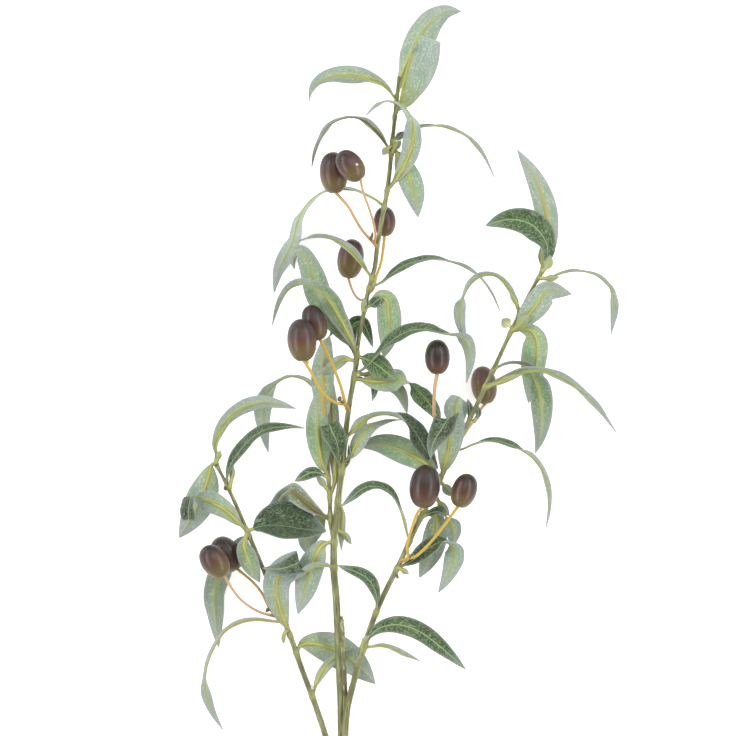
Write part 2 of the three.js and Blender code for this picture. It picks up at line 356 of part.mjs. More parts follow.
/** A leaf's centre, direction and upper normal at each of the FRAME_STEPS. */
function leafFrames(points, turns) {
  const curve = curveThrough(points);
  const frames = [];
  let normal = null;
  for (let i = 0; i <= FRAME_STEPS; i++) {
    const t = i / FRAME_STEPS;
    const along = curve.getTangentAt(t);
    const up = new THREE.Vector3(0, 0, 1).addScaledVector(along, -along.z);
    const level = up.lengthSq();
    if (normal === null) normal = up.clone().normalize();
    // The old normal is carried on, and drawn to the nearer of straight up and down where the leaf is level.
    normal.addScaledVector(along, -along.dot(normal)).normalize();
    const pull = up.multiplyScalar(normal.dot(up) < 0 ? -1 : 1);
    normal.addScaledVector(pull, level).normalize();
    const turn = radians(spread(turns, t));
    const side = new THREE.Vector3().crossVectors(along, normal);
    const upper = normal.clone().multiplyScalar(Math.cos(turn)).addScaledVector(side, Math.sin(turn));
    frames.push({ t, at: curve.getPointAt(t), along, upper });
  }
  return frames;
}

/** A leaf: a thin blade, its halves folded up from the midrib, on a short thick petiole. */
function leaf([, width, fold, points, turns]) {
  const frames = leafFrames(points, turns);
  const length = curveThrough(points).getLength();
  const rings = LEAF_RINGS.map((step) => {
    const { t, at, along, upper } = frames[step];
    const side = new THREE.Vector3().crossVectors(along, upper);
    const half = halfWidth(t, width, length);
    const petiole = Math.max(0, 1 - (t * length) / PETIOLE_LENGTH);
    const thick = BLADE_THICKNESS + (PETIOLE_THICKNESS - BLADE_THICKNESS) * petiole;
    const lift = radians(fold) * Math.min(1, (t * length) / (2 * PETIOLE_LENGTH));
    const [out, up] = [Math.cos(lift), Math.sin(lift)];
    const rib = (face) => at.clone().addScaledVector(upper, (face * thick) / 2 / out);
    // A rim's thickness is laid square to its own half of the blade.
    const rim = (across, face) => at.clone()
      .addScaledVector(side, across * (half * out - face * (thick / 2) * up))
      .addScaledVector(upper, half * up + face * (thick / 2) * out);
    return [rib(1), rim(1, 1), rim(1, -1), rib(-1), rim(-1, -1), rim(-1, 1)];
  });
  return skin(rings, 2);
}

/** An olive: a slightly blunt spindle about its own leaning axis, its lower end at the stalk. */
function olive([, centre, diameter, length, lean], extra = 0) {
  const profile = Array.from({ length: OLIVE_BANDS + 1 }, (_, i) => {
    const angle = Math.PI * (i / OLIVE_BANDS - 0.5);
    const radius = i === 0 || i === OLIVE_BANDS ? 0 : (diameter / 2 + extra) * Math.cos(angle) ** 0.86;
    return new THREE.Vector2(radius, (length / 2 + extra) * Math.sin(angle));
  });
  const geometry = new THREE.LatheGeometry(profile, OLIVE_SIDES);
  geometry.rotateZ(-radians(lean)).translate(...centre);
  return solidOf(geometry);
}

/** Where an olive's stalk enters it. */
function stalkEnd([, centre, , length, lean]) {
  const [x, y, z] = centre;
  const reach = length / 2;
  return [x - reach * Math.sin(radians(lean)), y - reach * Math.cos(radians(lean)), z];
}

function stalk(fruit, route) {
  const curve = curveThrough([...route, stalkEnd(fruit)]);
  const steps = Math.ceil(curve.getLength() / STALK_STEP);
  const rings = Array.from({ length: steps + 1 }, (_, i) => circle(
    curve.getPointAt(i / steps), curve.getTangentAt(i / steps), STALK_RADIUS, STALK_SIDES));
  return skin(rings);
}

const SLIVER = 0.02; // mm: unions leave hair-thin triangles, and they are smoothed away below this
const joined = (solids) => solids.reduce((whole, piece) => whole.add(piece));
const belowSurface = solidOf(new THREE.BoxGeometry(900, 900, 40).translate(0, 0, -20));
const onSurface = (solid) => solid.subtract(belowSurface);

/** The largest body of a solid, so that a scrap left by a cut is dropped. */
function largest(solid) {
  const bodies = solid.decompose();
  return bodies.reduce((best, body) => (body.volume() > best.volume() ? body : best));
}

// ---- the pieces -----------------------------------------------------------------------------------
const part = new THREE.Group();
part.position.set(...BRANCH_SHIFT);

const leafGreen = new THREE.MeshStandardMaterial({ color: 0x6f8f6c, roughness: 0.8 });
const oliveSkin = new THREE.MeshStandardMaterial({ color: 0x4a3b3b, roughness: 0.4 });
const stalkOrange = new THREE.MeshStandardMaterial({ color: 0xe8a35c, roughness: 0.5 });

function addPiece(name, solid, material) {
  const mesh = solid.simplify(SLIVER).getMesh();
  const geometry = new THREE.BufferGeometry();
  geometry.setAttribute("position", new THREE.BufferAttribute(mesh.vertProperties, 3));
  geometry.setIndex(new THREE.BufferAttribute(mesh.triVerts, 1));
  const piece = new THREE.Mesh(geometry, material);
  piece.name = name;
  part.add(piece);
}

function buildLeafyStems() {
  const centreStem = stem(CENTRE_STEM);
  const roomRoundCentre = stem(CENTRE_STEM, GAP);
  const centre = joined([centreStem, stem(REAR_STEM), ...CENTRE_LEAVES.map(leaf), ...REAR_LEAVES.map(leaf)]);
  const left = joined([stem(LEFT_STEM), ...LEFT_LEAVES.map(leaf)]).subtract(roomRoundCentre);
  const right = joined([stem(RIGHT_STEM), ...RIGHT_LEAVES.map(leaf)]).subtract(roomRoundCentre);
  addPiece("centre_leafy_stem", onSurface(centre), leafGreen);
  addPiece("left_leafy_stem", onSurface(largest(left)), leafGreen);
  addPiece("right_leafy_stem", onSurface(largest(right)), leafGreen);
}

function buildOlives() {
  for (const fruit of OLIVES) addPiece(fruit[0], onSurface(olive(fruit)), oliveSkin);
}

function buildStalks() {
  const fruits = new Map(OLIVES.map((fruit) => [fruit[0], fruit]));
  const roomRoundStems = joined([CENTRE_STEM, LEFT_STEM, RIGHT_STEM].map((points) => stem(points, GAP)));
  for (const [name, members] of STALKS) {
    const whole = joined(members.map(([fruit, route]) => stalk(fruits.get(fruit), route)));
    const room = joined(members.map(([fruit]) => olive(fruits.get(fruit), GAP)));
    addPiece(name, largest(whole.subtract(roomRoundStems).subtract(room)), stalkOrange);
  }
}

buildLeafyStems();
buildOlives();
buildStalks();

export default part;
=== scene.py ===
# %% [markdown]
# # An artificial olive branch, lying down
# Three leafy stems leave one trunk. The leaves are cloth with a printed net of veins and a moulded spine
# on the back. The olives are moulded, and they stand on thin orange stalks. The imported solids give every
# place and size, and each piece here follows the same points, in finer detail.

# %% Load the frame
import itertools
import math
from types import SimpleNamespace

import bpy
import numpy as np
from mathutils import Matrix, Vector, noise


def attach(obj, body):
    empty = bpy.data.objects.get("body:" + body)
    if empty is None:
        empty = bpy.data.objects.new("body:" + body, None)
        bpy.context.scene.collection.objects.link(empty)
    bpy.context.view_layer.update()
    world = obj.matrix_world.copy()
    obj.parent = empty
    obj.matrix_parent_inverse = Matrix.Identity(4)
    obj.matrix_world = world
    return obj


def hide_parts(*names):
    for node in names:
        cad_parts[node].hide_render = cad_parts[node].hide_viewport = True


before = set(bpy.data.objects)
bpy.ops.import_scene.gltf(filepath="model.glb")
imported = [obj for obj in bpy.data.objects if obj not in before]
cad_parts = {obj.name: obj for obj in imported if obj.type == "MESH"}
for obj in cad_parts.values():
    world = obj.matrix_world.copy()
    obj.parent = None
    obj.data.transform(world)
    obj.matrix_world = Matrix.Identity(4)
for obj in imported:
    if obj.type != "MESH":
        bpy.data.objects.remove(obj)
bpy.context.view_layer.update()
bpy.ops.object.select_all(action="DESELECT")

# %% [markdown]
# ## Measures
# The tables below are in millimetres about a point on the middle stem, where they are easy to read. One
# shift puts them in the frame.

# %% Measures
MM = 0.001
BRANCH_SHIFT = np.array([-19.4, 57.6, 0.0])


def placed(points):
    """Points of the tables, in the frame's metres."""
    return (np.asarray(points, float) + BRANCH_SHIFT) * MM


def leaned(points, degrees):
    """Points turned about their zero in the plane of the table, so that their top leans to +X."""
    turn = math.radians(degrees)
    x, y, z = np.asarray(points, float).T
    aside = x * math.cos(turn) + y * math.sin(turn)
    ahead = y * math.cos(turn) - x * math.sin(turn)
    return np.stack([aside, ahead, z], axis=-1)


# %% [markdown]
# ## Routes
# Leaves, stems and stalks all follow a smooth line through a few points. The line is the one that the
# solids follow: a Catmull-Rom curve, read at even steps of its length.

# %% Routes
POINTS_PER_SPAN = 24
TANGENT_REACH = 0.004  # of the length, on each side of the place whose direction is asked


def smooth_line(points):
    """A fine polyline through the points, the share of its length at each of its own, and its length."""
    points = np.asarray(points, float)
    before, after = 2 * points[0] - points[1], 2 * points[-1] - points[-2]
    p = np.vstack([before, points, after])
    t = np.arange(POINTS_PER_SPAN)[:, None] / POINTS_PER_SPAN
    spans = []
    for i in range(len(points) - 1):
        a, b, c, d = p[i : i + 4]
        bend = (2 * a - 5 * b + 4 * c - d) * t**2 + (3 * b - a - 3 * c + d) * t**3
        spans.append(0.5 * (2 * b + (c - a) * t + bend))
    line = np.vstack([*spans, points[-1:]])
    steps = np.linalg.norm(np.diff(line, axis=0), axis=1)
    reached = np.concatenate([[0], np.cumsum(steps)])
    return line, reached / reached[-1], reached[-1]


def read_at(values, shares, wanted):
    """Rows of values, read at the wanted shares."""
    return np.stack([np.interp(wanted, shares, column) for column in values.T], axis=1)


def unit(vectors):
    return vectors / np.maximum(np.linalg.norm(vectors, axis=-1, keepdims=True), 1e-12)


def tangents(line, shares, wanted):
    """Directions along the line at the wanted shares."""
    ahead = read_at(line, shares, np.minimum(wanted + TANGENT_REACH, 1))
    behind = read_at(line, shares, np.maximum(wanted - TANGENT_REACH, 0))
    return unit(ahead - behind)


# %% [markdown]
# ## Materials
# Colours are hex values as a painter's chart gives them, and one function turns them to the linear light
# that Blender works in. One small function adds a node with its settings and links. It takes inputs by
# name or by number: Map Range has 0 for what it reads, 1 and 2 for where that starts and ends, and 3 and 4
# for what it then gives. Mix has 0 for the cover, 6 for the colour beneath and 7 for the one over it. The
# scale of a pattern is a count in a millimetre, because the places that it reads are in millimetres.

# %% Material helpers
PAINT = {"data_type": "RGBA"}
SOFT = {"interpolation_type": "SMOOTHSTEP"}


def colour(code):
    """Linear RGBA from an sRGB hex value."""
    channels = [int(code[i : i + 2], 16) / 255 for i in (0, 2, 4)]
    linear = [c / 12.92 if c <= 0.04045 else ((c + 0.055) / 1.055) ** 2.4 for c in channels]
    return (*linear, 1.0)


def add(tree, kind, inputs, **settings):
    """The first live output of a new node. Its inputs are values, or outputs of other nodes."""
    made = tree.nodes.new("ShaderNode" + kind)
    for key, value in settings.items():
        setattr(made, key, value)
    for key, value in inputs.items():
        if isinstance(value, bpy.types.NodeSocket):
            tree.links.new(value, made.inputs[key])
        else:
            made.inputs[key].default_value = value
    return next(output for output in made.outputs if output.enabled)


def new_material(name, settings):
    """A material whose shader has these settings, and its node tree."""
    material = bpy.data.materials.new(name)
    material.use_nodes = True
    shader = material.node_tree.nodes["Principled BSDF"]
    for socket, value in settings.items():
        shader.inputs[socket].default_value = value
    return material, material.node_tree


def wire(tree, sockets):
    """Joins outputs to the shader's sockets."""
    shader = tree.nodes["Principled BSDF"]
    for socket, output in sockets.items():
        tree.links.new(output, shader.inputs[socket])


def stored_vectors(tree, *names):
    """Vectors that are kept at the vertices under these names."""
    return [add(tree, "Attribute", {}, attribute_name=name).node.outputs["Vector"] for name in names]


def patches(tree, place, scale, detail, start, end, least=0.0, most=1.0, roughness=0.5):
    """A mask of soft patches, `scale` of them a millimetre: noise, raised from its start to its end."""
    cells = {"Vector": place, "Scale": scale, "Detail": detail, "Roughness": roughness}
    return add(tree, "MapRange", {0: add(tree, "TexNoise", cells), 1: start, 2: end, 3: least, 4: most})


# %% [markdown]
# ### Printed cloth, the leaf's upper face
# The cloth is a polyester weave, pressed in a hot mould that stamps the veins in, and printed dark green
# with a pale net. It is matt, with a faint sheen from the fibres, and its cut edge is grey. The pattern
# follows the leaf, so it reads an attribute that holds the place on the blade in millimetres: across,
# along, and in from the edge. A second one holds what is the leaf's own: how far towards its tip the place
# is, its tone from old and grey (0) to fresh (1), and the dye of its spine.

# %% The place on a leaf, its ground and its veins
NET_CELL = 1.0  # millimetres between two of the finest veins
LATERAL_GAP = 0.5  # millimetres between two side veins, where they stand closest
PRINT_PATCH = 5.0  # millimetres over which the print is stronger or fainter
VEIN_SLANT = -1.15  # millimetres along the leaf for each one across, so that veins point to its tip
VEIN_SWING = 9.0  # millimetres that a vein strays at most
VEIN_DRIFT = 0.12  # in a millimetre, so a vein strays and comes back within 8
VEIN_STRETCH = 0.2  # so that a vein is five times as long as it is wide


def blade_place(tree):
    """The place on the blade and what is the leaf's own, by name."""
    blade, look = stored_vectors(tree, "blade", "look")
    across, along, inward = add(tree, "SeparateXYZ", {0: blade}).node.outputs
    share, tone, dye = add(tree, "SeparateXYZ", {0: look}).node.outputs
    aside = add(tree, "Math", {0: across}, operation="ABSOLUTE")
    return SimpleNamespace(blade=blade, across=across, along=along, inward=inward, aside=aside, share=share,
                           tone=tone, dye=dye)


def cloth_ground(tree, at, scale, softness, old, fresh):
    """The cloth's ground: patches of an old leaf's two colours, or of a fresh leaf's, by its tone."""
    cover = patches(tree, at.blade, scale, 3.0, 0.5 - softness, 0.5 + softness)
    grounds = [add(tree, "Mix", {0: cover, 6: colour(a), 7: colour(b)}, **PAINT) for a, b in (old, fresh)]
    return add(tree, "Mix", {0: at.tone, 6: grounds[0], 7: grounds[1]}, **PAINT)


def vein_masks(tree, at):
    """Two masks: 1 on the side veins, which print unevenly, and 1 on the mottle between them."""
    drift = add(tree, "TexNoise", {"Vector": at.blade, "Scale": VEIN_DRIFT, "Detail": 2.0})
    swing = add(tree, "Math", {0: drift, 1: VEIN_SWING}, operation="MULTIPLY")
    slanted = add(tree, "Math", {0: at.aside, 1: VEIN_SLANT, 2: at.along}, operation="MULTIPLY_ADD")
    bent = add(tree, "Math", {0: slanted, 1: swing}, operation="ADD")
    drawn = add(tree, "Math", {0: at.across, 1: VEIN_STRETCH}, operation="MULTIPLY")
    lined = add(tree, "CombineXYZ", {0: bent, 1: drawn})
    veins = patches(tree, lined, 1 / LATERAL_GAP, 1.0, 0.55, 0.66)
    stretched = add(tree, "VectorMath", {0: at.blade, 1: (1.0, 0.55, 0.0)}, operation="MULTIPLY")
    mottle = patches(tree, stretched, 1 / NET_CELL, 4.0, 0.51, 0.62, roughness=0.7)
    return veins, mottle


# %% Upper face of the leaves
UPPER_PATCHES = 0.14  # in a millimetre, so one every 7


def printed_cloth_upper():
    """Matt cloth: dark green patches under a pale net, a pale midrib, and a grey edge and tip."""
    settings = {"Roughness": 0.62, "IOR": 1.5, "Sheen Weight": 0.06}
    material, tree = new_material("printed polyester cloth, upper face", settings)
    at = blade_place(tree)
    ground = cloth_ground(tree, at, UPPER_PATCHES, 0.15, ("1f2c1e", "2f4128"), ("30492b", "4c6e3f"))
    veins, mottle = vein_masks(tree, at)
    strength = patches(tree, at.blade, 1 / PRINT_PATCH, 2.0, 0.38, 0.62, 0.3, 0.7)
    printed = add(tree, "Math", {0: mottle, 1: strength}, operation="MULTIPLY")
    clear = add(tree, "Math", {0: veins, 1: 0.7}, operation="MULTIPLY")
    printed = add(tree, "Math", {0: printed, 1: clear}, operation="MAXIMUM")
    midrib = add(tree, "MapRange", {0: at.aside, 1: 0.2, 2: 0.5, 3: 0.9, 4: 0.0}, **SOFT)
    pale = add(tree, "Math", {0: printed, 1: midrib}, operation="MAXIMUM")
    lines = add(tree, "Mix", {0: at.tone, 6: colour("8a9c7a"), 7: colour("a3b97c")}, **PAINT)
    face = add(tree, "Mix", {0: pale, 6: ground, 7: lines}, **PAINT)
    edge = add(tree, "MapRange", {0: at.inward, 1: 0.1, 2: 1.7, 3: 0.65, 4: 0.0}, **SOFT)
    tip = add(tree, "MapRange", {0: at.share, 1: 0.78, 2: 1.0, 3: 0.0, 4: 0.6})
    for cover, code in ((edge, "808d83"), (tip, "8b998c")):
        face = add(tree, "Mix", {0: cover, 6: face, 7: colour(code)}, **PAINT)
    press = add(tree, "Bump", {"Strength": 0.5, "Distance": 0.15 * MM, "Height": pale}, invert=True)
    wire(tree, {"Base Color": face, "Normal": press})
    return material


# %% [markdown]
# ### Flocked cloth, the leaf's underside
# The back of the same cloth is pale: grey green in the older leaves, light green in the fresh ones, and
# lilac grey along the cut edge and at the tip. Its net is whitish and its fibres run along the leaf. Dye
# from the spine stains it yellow green, over the whole width by the petiole and in a halo further out. A
# dye above 1 is brown and has spread further in. A tone above 1 darkens the underside towards the upper
# face's dark print: partly the print seen from the other face, partly painted shade where a leaf hangs in
# shadow.

# %% Underside of the leaves
UNDER_PATCHES = 0.09  # in a millimetre, so one every 11
FIBRES = 1.1  # in a millimetre. Real ones are ten times finer, and wouldn't show
FIBRE_STRETCH = (1.0, 0.07, 0.0)  # so that a fibre is fourteen times as long as it is wide


def dye_stains(tree, at):
    """Two masks: 1 where dye from the spine has run yellow green, and 1 where it has run brown."""
    low = add(tree, "MapRange", {0: at.share, 1: 0.1, 2: 0.42, 3: 0.7, 4: 0.0}, **SOFT)
    halo = add(tree, "MapRange", {0: at.aside, 1: 0.6, 2: 3.2, 3: 0.9, 4: 0.0}, **SOFT)
    ending = add(tree, "MapRange", {0: at.share, 1: 0.45, 2: 0.92, 3: 1.0, 4: 0.0})
    halo = add(tree, "Math", {0: halo, 1: ending}, operation="MULTIPLY")
    green = add(tree, "Math", {0: low, 1: halo}, operation="MAXIMUM")
    brown = add(tree, "MapRange", {0: at.dye, 1: 1.0, 2: 2.0})
    run_in = add(tree, "MapRange", {0: at.aside, 1: 1.0, 2: 5.5, 3: 0.9, 4: 0.1})
    for fade in (run_in, ending):
        brown = add(tree, "Math", {0: brown, 1: fade}, operation="MULTIPLY")
    return green, brown


def printed_cloth_under():
    """Matt pale cloth with fibres along it, a whitish net, stains of dye, and a lilac grey edge and tip."""
    settings = {"Roughness": 0.75, "IOR": 1.5, "Sheen Weight": 0.2}
    material, tree = new_material("printed polyester cloth, underside", settings)
    at = blade_place(tree)
    face = cloth_ground(tree, at, UNDER_PATCHES, 0.14, ("90a296", "a2a9a8"), ("789869", "93b080"))
    drawn = add(tree, "VectorMath", {0: at.blade, 1: FIBRE_STRETCH}, operation="MULTIPLY")
    fibres = patches(tree, drawn, FIBRES, 4.0, 0.42, 0.66, 0.0, 0.6)
    green, brown = dye_stains(tree, at)
    veins, mottle = vein_masks(tree, at)
    net = add(tree, "Math", {0: veins, 1: 0.45, 2: mottle}, operation="MULTIPLY_ADD", use_clamp=True)
    strength = patches(tree, at.blade, 1 / PRINT_PATCH, 2.0, 0.35, 0.65, 0.25, 0.75)
    net = add(tree, "Math", {0: net, 1: strength}, operation="MULTIPLY")
    for cover, code in ((fibres, "76907c"), (green, "a1ae62"), (brown, "77754a"), (net, "cfd8c8")):
        face = add(tree, "Mix", {0: cover, 6: face, 7: colour(code)}, **PAINT)

    # A tone above 1 darkens the underside towards the dark print: partly print, partly painted shade
    dark_print_and_painted_shade = add(tree, "MapRange", {0: at.tone, 1: 1.0, 2: 2.0})
    lines = add(tree, "Math", {0: net, 1: 0.6}, operation="MULTIPLY")
    printed = add(tree, "Mix", {0: lines, 6: colour("3f523c"), 7: colour("9fb488")}, **PAINT)
    face = add(tree, "Mix", {0: dark_print_and_painted_shade, 6: face, 7: printed}, **PAINT)
    edge = add(tree, "MapRange", {0: at.inward, 1: 0.2, 2: 2.0, 3: 0.75, 4: 0.0}, **SOFT)
    tip = add(tree, "MapRange", {0: at.share, 1: 0.62, 2: 1.0, 3: 0.0, 4: 0.65})
    lilac_grey_rim_and_tip = add(tree, "Math", {0: edge, 1: tip}, operation="MAXIMUM")
    face = add(tree, "Mix", {0: lilac_grey_rim_and_tip, 6: face, 7: colour("a4a5a8")}, **PAINT)
    press = add(tree, "Bump", {"Strength": 0.4, "Distance": 0.12 * MM, "Height": net})
    wire(tree, {"Base Color": face, "Normal": press})
    return material


# %% [markdown]
# ### Moulded polyethylene, the spines and sheaths
# Each leaf is welded to a soft moulded spine: yellow green, slightly waxy, with a painted highlight along its
# crest, and streaked where the colour was brushed on. Some spines are tan, brown or wan, as their dye says.

# %% Spines
BRUSH_STREAKS = 1.3  # in a millimetre of the spine's width
BRUSH_STRETCH = (1.0, 0.1, 0.0)


def spine_plastic():
    """Waxy yellow green with a painted highlight on its crest, dull by the root and thinning out to the
    cloth's colour.
    """
    material, tree = new_material("moulded polyethylene spine", {"Roughness": 0.42, "IOR": 1.51})
    at = blade_place(tree)
    drawn = add(tree, "VectorMath", {0: at.blade, 1: BRUSH_STRETCH}, operation="MULTIPLY")
    streaks = patches(tree, drawn, BRUSH_STREAKS, 3.0, 0.35, 0.65)
    face = add(tree, "Mix", {0: streaks, 6: colour("878c4c"), 7: colour("adb165")}, **PAINT)
    # Painted highlight: the crest is lighter, as if lit along its top, and it fades towards the tip
    crest = add(tree, "MapRange", {0: at.aside, 1: 0.05, 2: 0.5, 3: 0.55, 4: 0.0}, **SOFT)
    early = add(tree, "MapRange", {0: at.share, 1: 0.25, 2: 0.6, 3: 1.0, 4: 0.2})
    crest = add(tree, "Math", {0: crest, 1: early}, operation="MULTIPLY")
    tan = add(tree, "MapRange", {0: at.dye, 1: 0.5, 2: 1.0, 3: 0.0, 4: 0.75})
    brown = add(tree, "MapRange", {0: at.dye, 1: 1.0, 2: 1.6})
    wan = add(tree, "MapRange", {0: at.dye, 1: 0.0, 2: -1.0, 3: 0.0, 4: 0.8})
    root = add(tree, "MapRange", {0: at.share, 1: 0.0, 2: 0.12, 3: 0.5, 4: 0.0})
    thin = add(tree, "MapRange", {0: at.share, 1: 0.4, 2: 0.85, 3: 0.0, 4: 0.85})
    layers = [(crest, "d2cf84"), (tan, "b29b5a"), (brown, "6a673c"), (wan, "e4dcaa"), (root, "85864f"),
              (thin, "9ba785")]
    for cover, code in layers:
        face = add(tree, "Mix", {0: cover, 6: face, 7: colour(code)}, **PAINT)
    wire(tree, {"Base Color": face})
    return material


LEAF_MATERIALS = [printed_cloth_upper(), printed_cloth_under(), spine_plastic()]
UPPER, UNDER, SPINE = range(3)
print("leaf materials:", [material.name for material in LEAF_MATERIALS])

# %% [markdown]
# ## The flat leaf
# A leaf is modelled once, as a thin slab: a grid gives its rows and columns, and one extrusion its
# thickness. Four columns down the middle of its back are the spine. A Curve modifier could bend it, but its
# own idea of up flips where a leaf turns over, so a function lays each vertex on the leaf's own route.

# %% Model the slab
BLADE_ROWS = 56
BLADE_COLUMNS = 16
PETIOLE_ROWS = 6
SPINE_SHARE = 0.25  # of the columns, on each side of the middle
SPINE_END = 0.9  # of the rows
BAKE_MAP = "OFBake"
MAP_MARGIN = 0.01
UPPER_START, UNDER_START, FACE_WIDTH = 0.01, 0.49, 0.46  # shares of the map's width
LEFT_RIM, RIGHT_RIM, RIM_WIDTH = 0.965, 0.985, 0.01


def unfold(mesh):
    """A map with the upper face, the underside and the two rims side by side."""
    mesh.uv_layers.active.name = BAKE_MAP
    layer = mesh.uv_layers[BAKE_MAP].data
    for face in mesh.polygons:
        start = UNDER_START if face.normal.z < -0.5 else UPPER_START
        for loop in face.loop_indices:
            x, y, z = mesh.vertices[mesh.loops[loop].vertex_index].co
            u = start + FACE_WIDTH * (x + 1) / 2
            if abs(face.normal.x) > 0.5:
                u = (LEFT_RIM if x < 0 else RIGHT_RIM) - RIM_WIDTH * z
            layer[loop].uv = (u, MAP_MARGIN + (1 - 2 * MAP_MARGIN) * (y + 1) / 2)


def model_slab():
    """The flat leaf, 2 by 2 and 1 thick, with a material on each face and its map."""
    bpy.ops.mesh.primitive_grid_add(x_subdivisions=BLADE_COLUMNS, y_subdivisions=BLADE_ROWS, size=2)
    slab = bpy.context.object
    bpy.ops.object.mode_set(mode="EDIT")
    bpy.ops.mesh.select_all(action="SELECT")
    bpy.ops.mesh.extrude_region_move(TRANSFORM_OT_translate={"value": (0, 0, -1)})
    bpy.ops.mesh.select_all(action="SELECT")
    bpy.ops.mesh.normals_make_consistent(inside=False)
    bpy.ops.object.mode_set(mode="OBJECT")
    for material in LEAF_MATERIALS:
        slab.data.materials.append(material)
    for face in slab.data.polygons:
        row = (face.center.y + 1) / 2
        on_spine = face.normal.z < -0.5 and abs(face.center.x) < SPINE_SHARE and row < SPINE_END
        face.material_index = UPPER if face.normal.z > 0.5 else UNDER
        if row < PETIOLE_ROWS / BLADE_ROWS or on_spine:
            face.material_index = SPINE
    unfold(slab.data)
    return slab


slab = model_slab()
print("flat leaf:", len(slab.data.vertices), "vertices,", len(slab.data.polygons), "faces")

# %% [markdown]
# ## A leaf's form
# The blade is lance-shaped. Its two halves fold up from the midrib, by an angle that is the leaf's own, and
# its edges wave slightly. The petiole is round and the same plastic as the spine, which thins out towards
# the tip.

# %% The route of a leaf
FRAME_STEPS = 40


def eased(values):
    """0 to 1, with a soft start and end."""
    values = np.clip(values, 0, 1)
    return values * values * (3 - 2 * values)


def spread(values, shares):
    """Values spread evenly from root to tip, eased from each to the next, or one value all along."""
    values = np.atleast_1d(np.asarray(values, float))
    if len(values) == 1:
        return np.full(len(shares), values[0])
    place = shares * (len(values) - 1)
    i = np.minimum(place.astype(int), len(values) - 2)
    return values[i] + (values[i + 1] - values[i]) * eased(place - i)


def leaf_frames(line, shares, turns):
    """The shares at FRAME_STEPS, and the upper normals there, turned as the leaf turns."""
    steps = np.linspace(0, 1, FRAME_STEPS + 1)
    along = tangents(line, shares, steps)
    up = np.array([0, 0, 1.0]) - along * along[:, 2:3]
    level = (up**2).sum(axis=1)
    normal = unit(up[0])
    carried = []
    for i in range(FRAME_STEPS + 1):
        normal = unit(normal - along[i] * along[i].dot(normal))
        pull = up[i] if normal.dot(up[i]) >= 0 else -up[i]
        normal = unit(normal + pull * level[i])
        carried.append(normal)
    carried = np.array(carried)
    turn = np.radians(spread(turns, steps))[:, None]
    return steps, carried * np.cos(turn) + np.cross(along, carried) * np.sin(turn)


# %% The section of a leaf
PETIOLE_WIDTH = 2.4
PETIOLE_LENGTH = 4.0
PETIOLE_RADIUS = 0.85
ROOT_FLARE = 0.4
TIP_HALF_WIDTH = 0.32
MAX_PETIOLE_SHARE = 0.3
ROUND_UNTIL, ROUND_FADE = 0.7, 0.8  # petiole lengths: where it stops being round, and how soon it is flat
LANCE_LOW, LANCE_FULL = 0.9, 0.8  # powers: under 1 sets the broadest place lower, and the blade fuller
SPINE_PLACES = [0, 0.12, 0.3, 0.6, 0.85, 1]  # shares of the length
SPINE_HALF_WIDTHS = [1.2, 1.7, 1.4, 1.1, 0.7, 0.15]
SPINE_LIMIT = 0.6  # of the blade's half width
RIDGE_PLACES = [0, 0.25, 0.7, 0.88, 1]
RIDGE_HEIGHTS = [0.75, 0.675, 0.4125, 0.15, 0.0375]  # how far the spine stands out of the back
CLOTH_THICKNESS = 0.42
EDGE_THINNING = 0.45
WAVE_HEIGHT = 0.55
WAVE_LENGTH = 27.0
LEAF_PHASE, SIDE_PHASE = 2.4, 1.9  # so that no two leaves, and no two halves, wave alike
FULL_WAVE_WIDTH = 12  # millimetres of width from which a blade waves fully
CREASE = 0.8  # millimetres from the midrib over which the fold sets in


def half_widths(share, width, petiole):
    """Half the width at each share of the length: a petiole, then a lance-shaped blade."""
    u = np.clip((share - petiole) / (1 - petiole), 0, 1)
    blade = width / 2 * np.sin(np.pi * u**LANCE_LOW) ** LANCE_FULL
    least = np.where(u < 0.5, PETIOLE_WIDTH / 2, TIP_HALF_WIDTH)
    flare = ROOT_FLARE * np.clip(1 - 2 * share / petiole, 0, 1)
    return np.maximum(blade, least) + flare


def section(column, row, layer, width, length, number):
    """Each vertex of the slab on the straight leaf: its share, half width, place aside and height, in mm."""
    petiole = min(PETIOLE_LENGTH / length, MAX_PETIOLE_SHARE)
    share = np.interp((row + 1) / 2, [0, PETIOLE_ROWS / BLADE_ROWS, 1], [0, petiole, 1])
    half = half_widths(share, width, petiole)
    spine = np.minimum(np.interp(share, SPINE_PLACES, SPINE_HALF_WIDTHS), SPINE_LIMIT * half)
    out = np.abs(column)
    beyond = np.clip((out - SPINE_SHARE) / (1 - SPINE_SHARE), 0, 1)
    aside = np.where(out <= SPINE_SHARE, spine * out / SPINE_SHARE, spine + (half - spine) * beyond)
    from_edge = aside / half
    stalky = 1 - eased((share * length / PETIOLE_LENGTH - ROUND_UNTIL) / ROUND_FADE)

    phase = number * LEAF_PHASE + (column > 0) * SIDE_PHASE
    wave = WAVE_HEIGHT * np.sin(share * length / WAVE_LENGTH * 2 * np.pi + phase)
    wave = wave * from_edge**2 * np.sin(np.pi * share) * min(1, width / FULL_WAVE_WIDTH) * (1 - stalky)
    round_half = np.sqrt(np.clip(1 - from_edge**2, 0.02, 1))
    thick = CLOTH_THICKNESS / 2 * (1 - EDGE_THINNING * from_edge**8)
    thick = thick * (1 - stalky) + PETIOLE_RADIUS * round_half * stalky
    crest = np.sqrt(np.clip(1 - (aside / np.maximum(spine, 0.05)) ** 2, 0, 1))
    ridge = np.interp(share, RIDGE_PLACES, RIDGE_HEIGHTS) * crest * (1 - stalky)
    height = wave + np.where(layer > -0.5, thick, -thick - ridge)
    return share, half, aside, height


# %% Lay a leaf on its route
SURFACE = 0.02  # millimetres that a leaf keeps from the table
NUMBER_GAP = 137.0  # millimetres between two leaves in the pattern, so that none has another's print


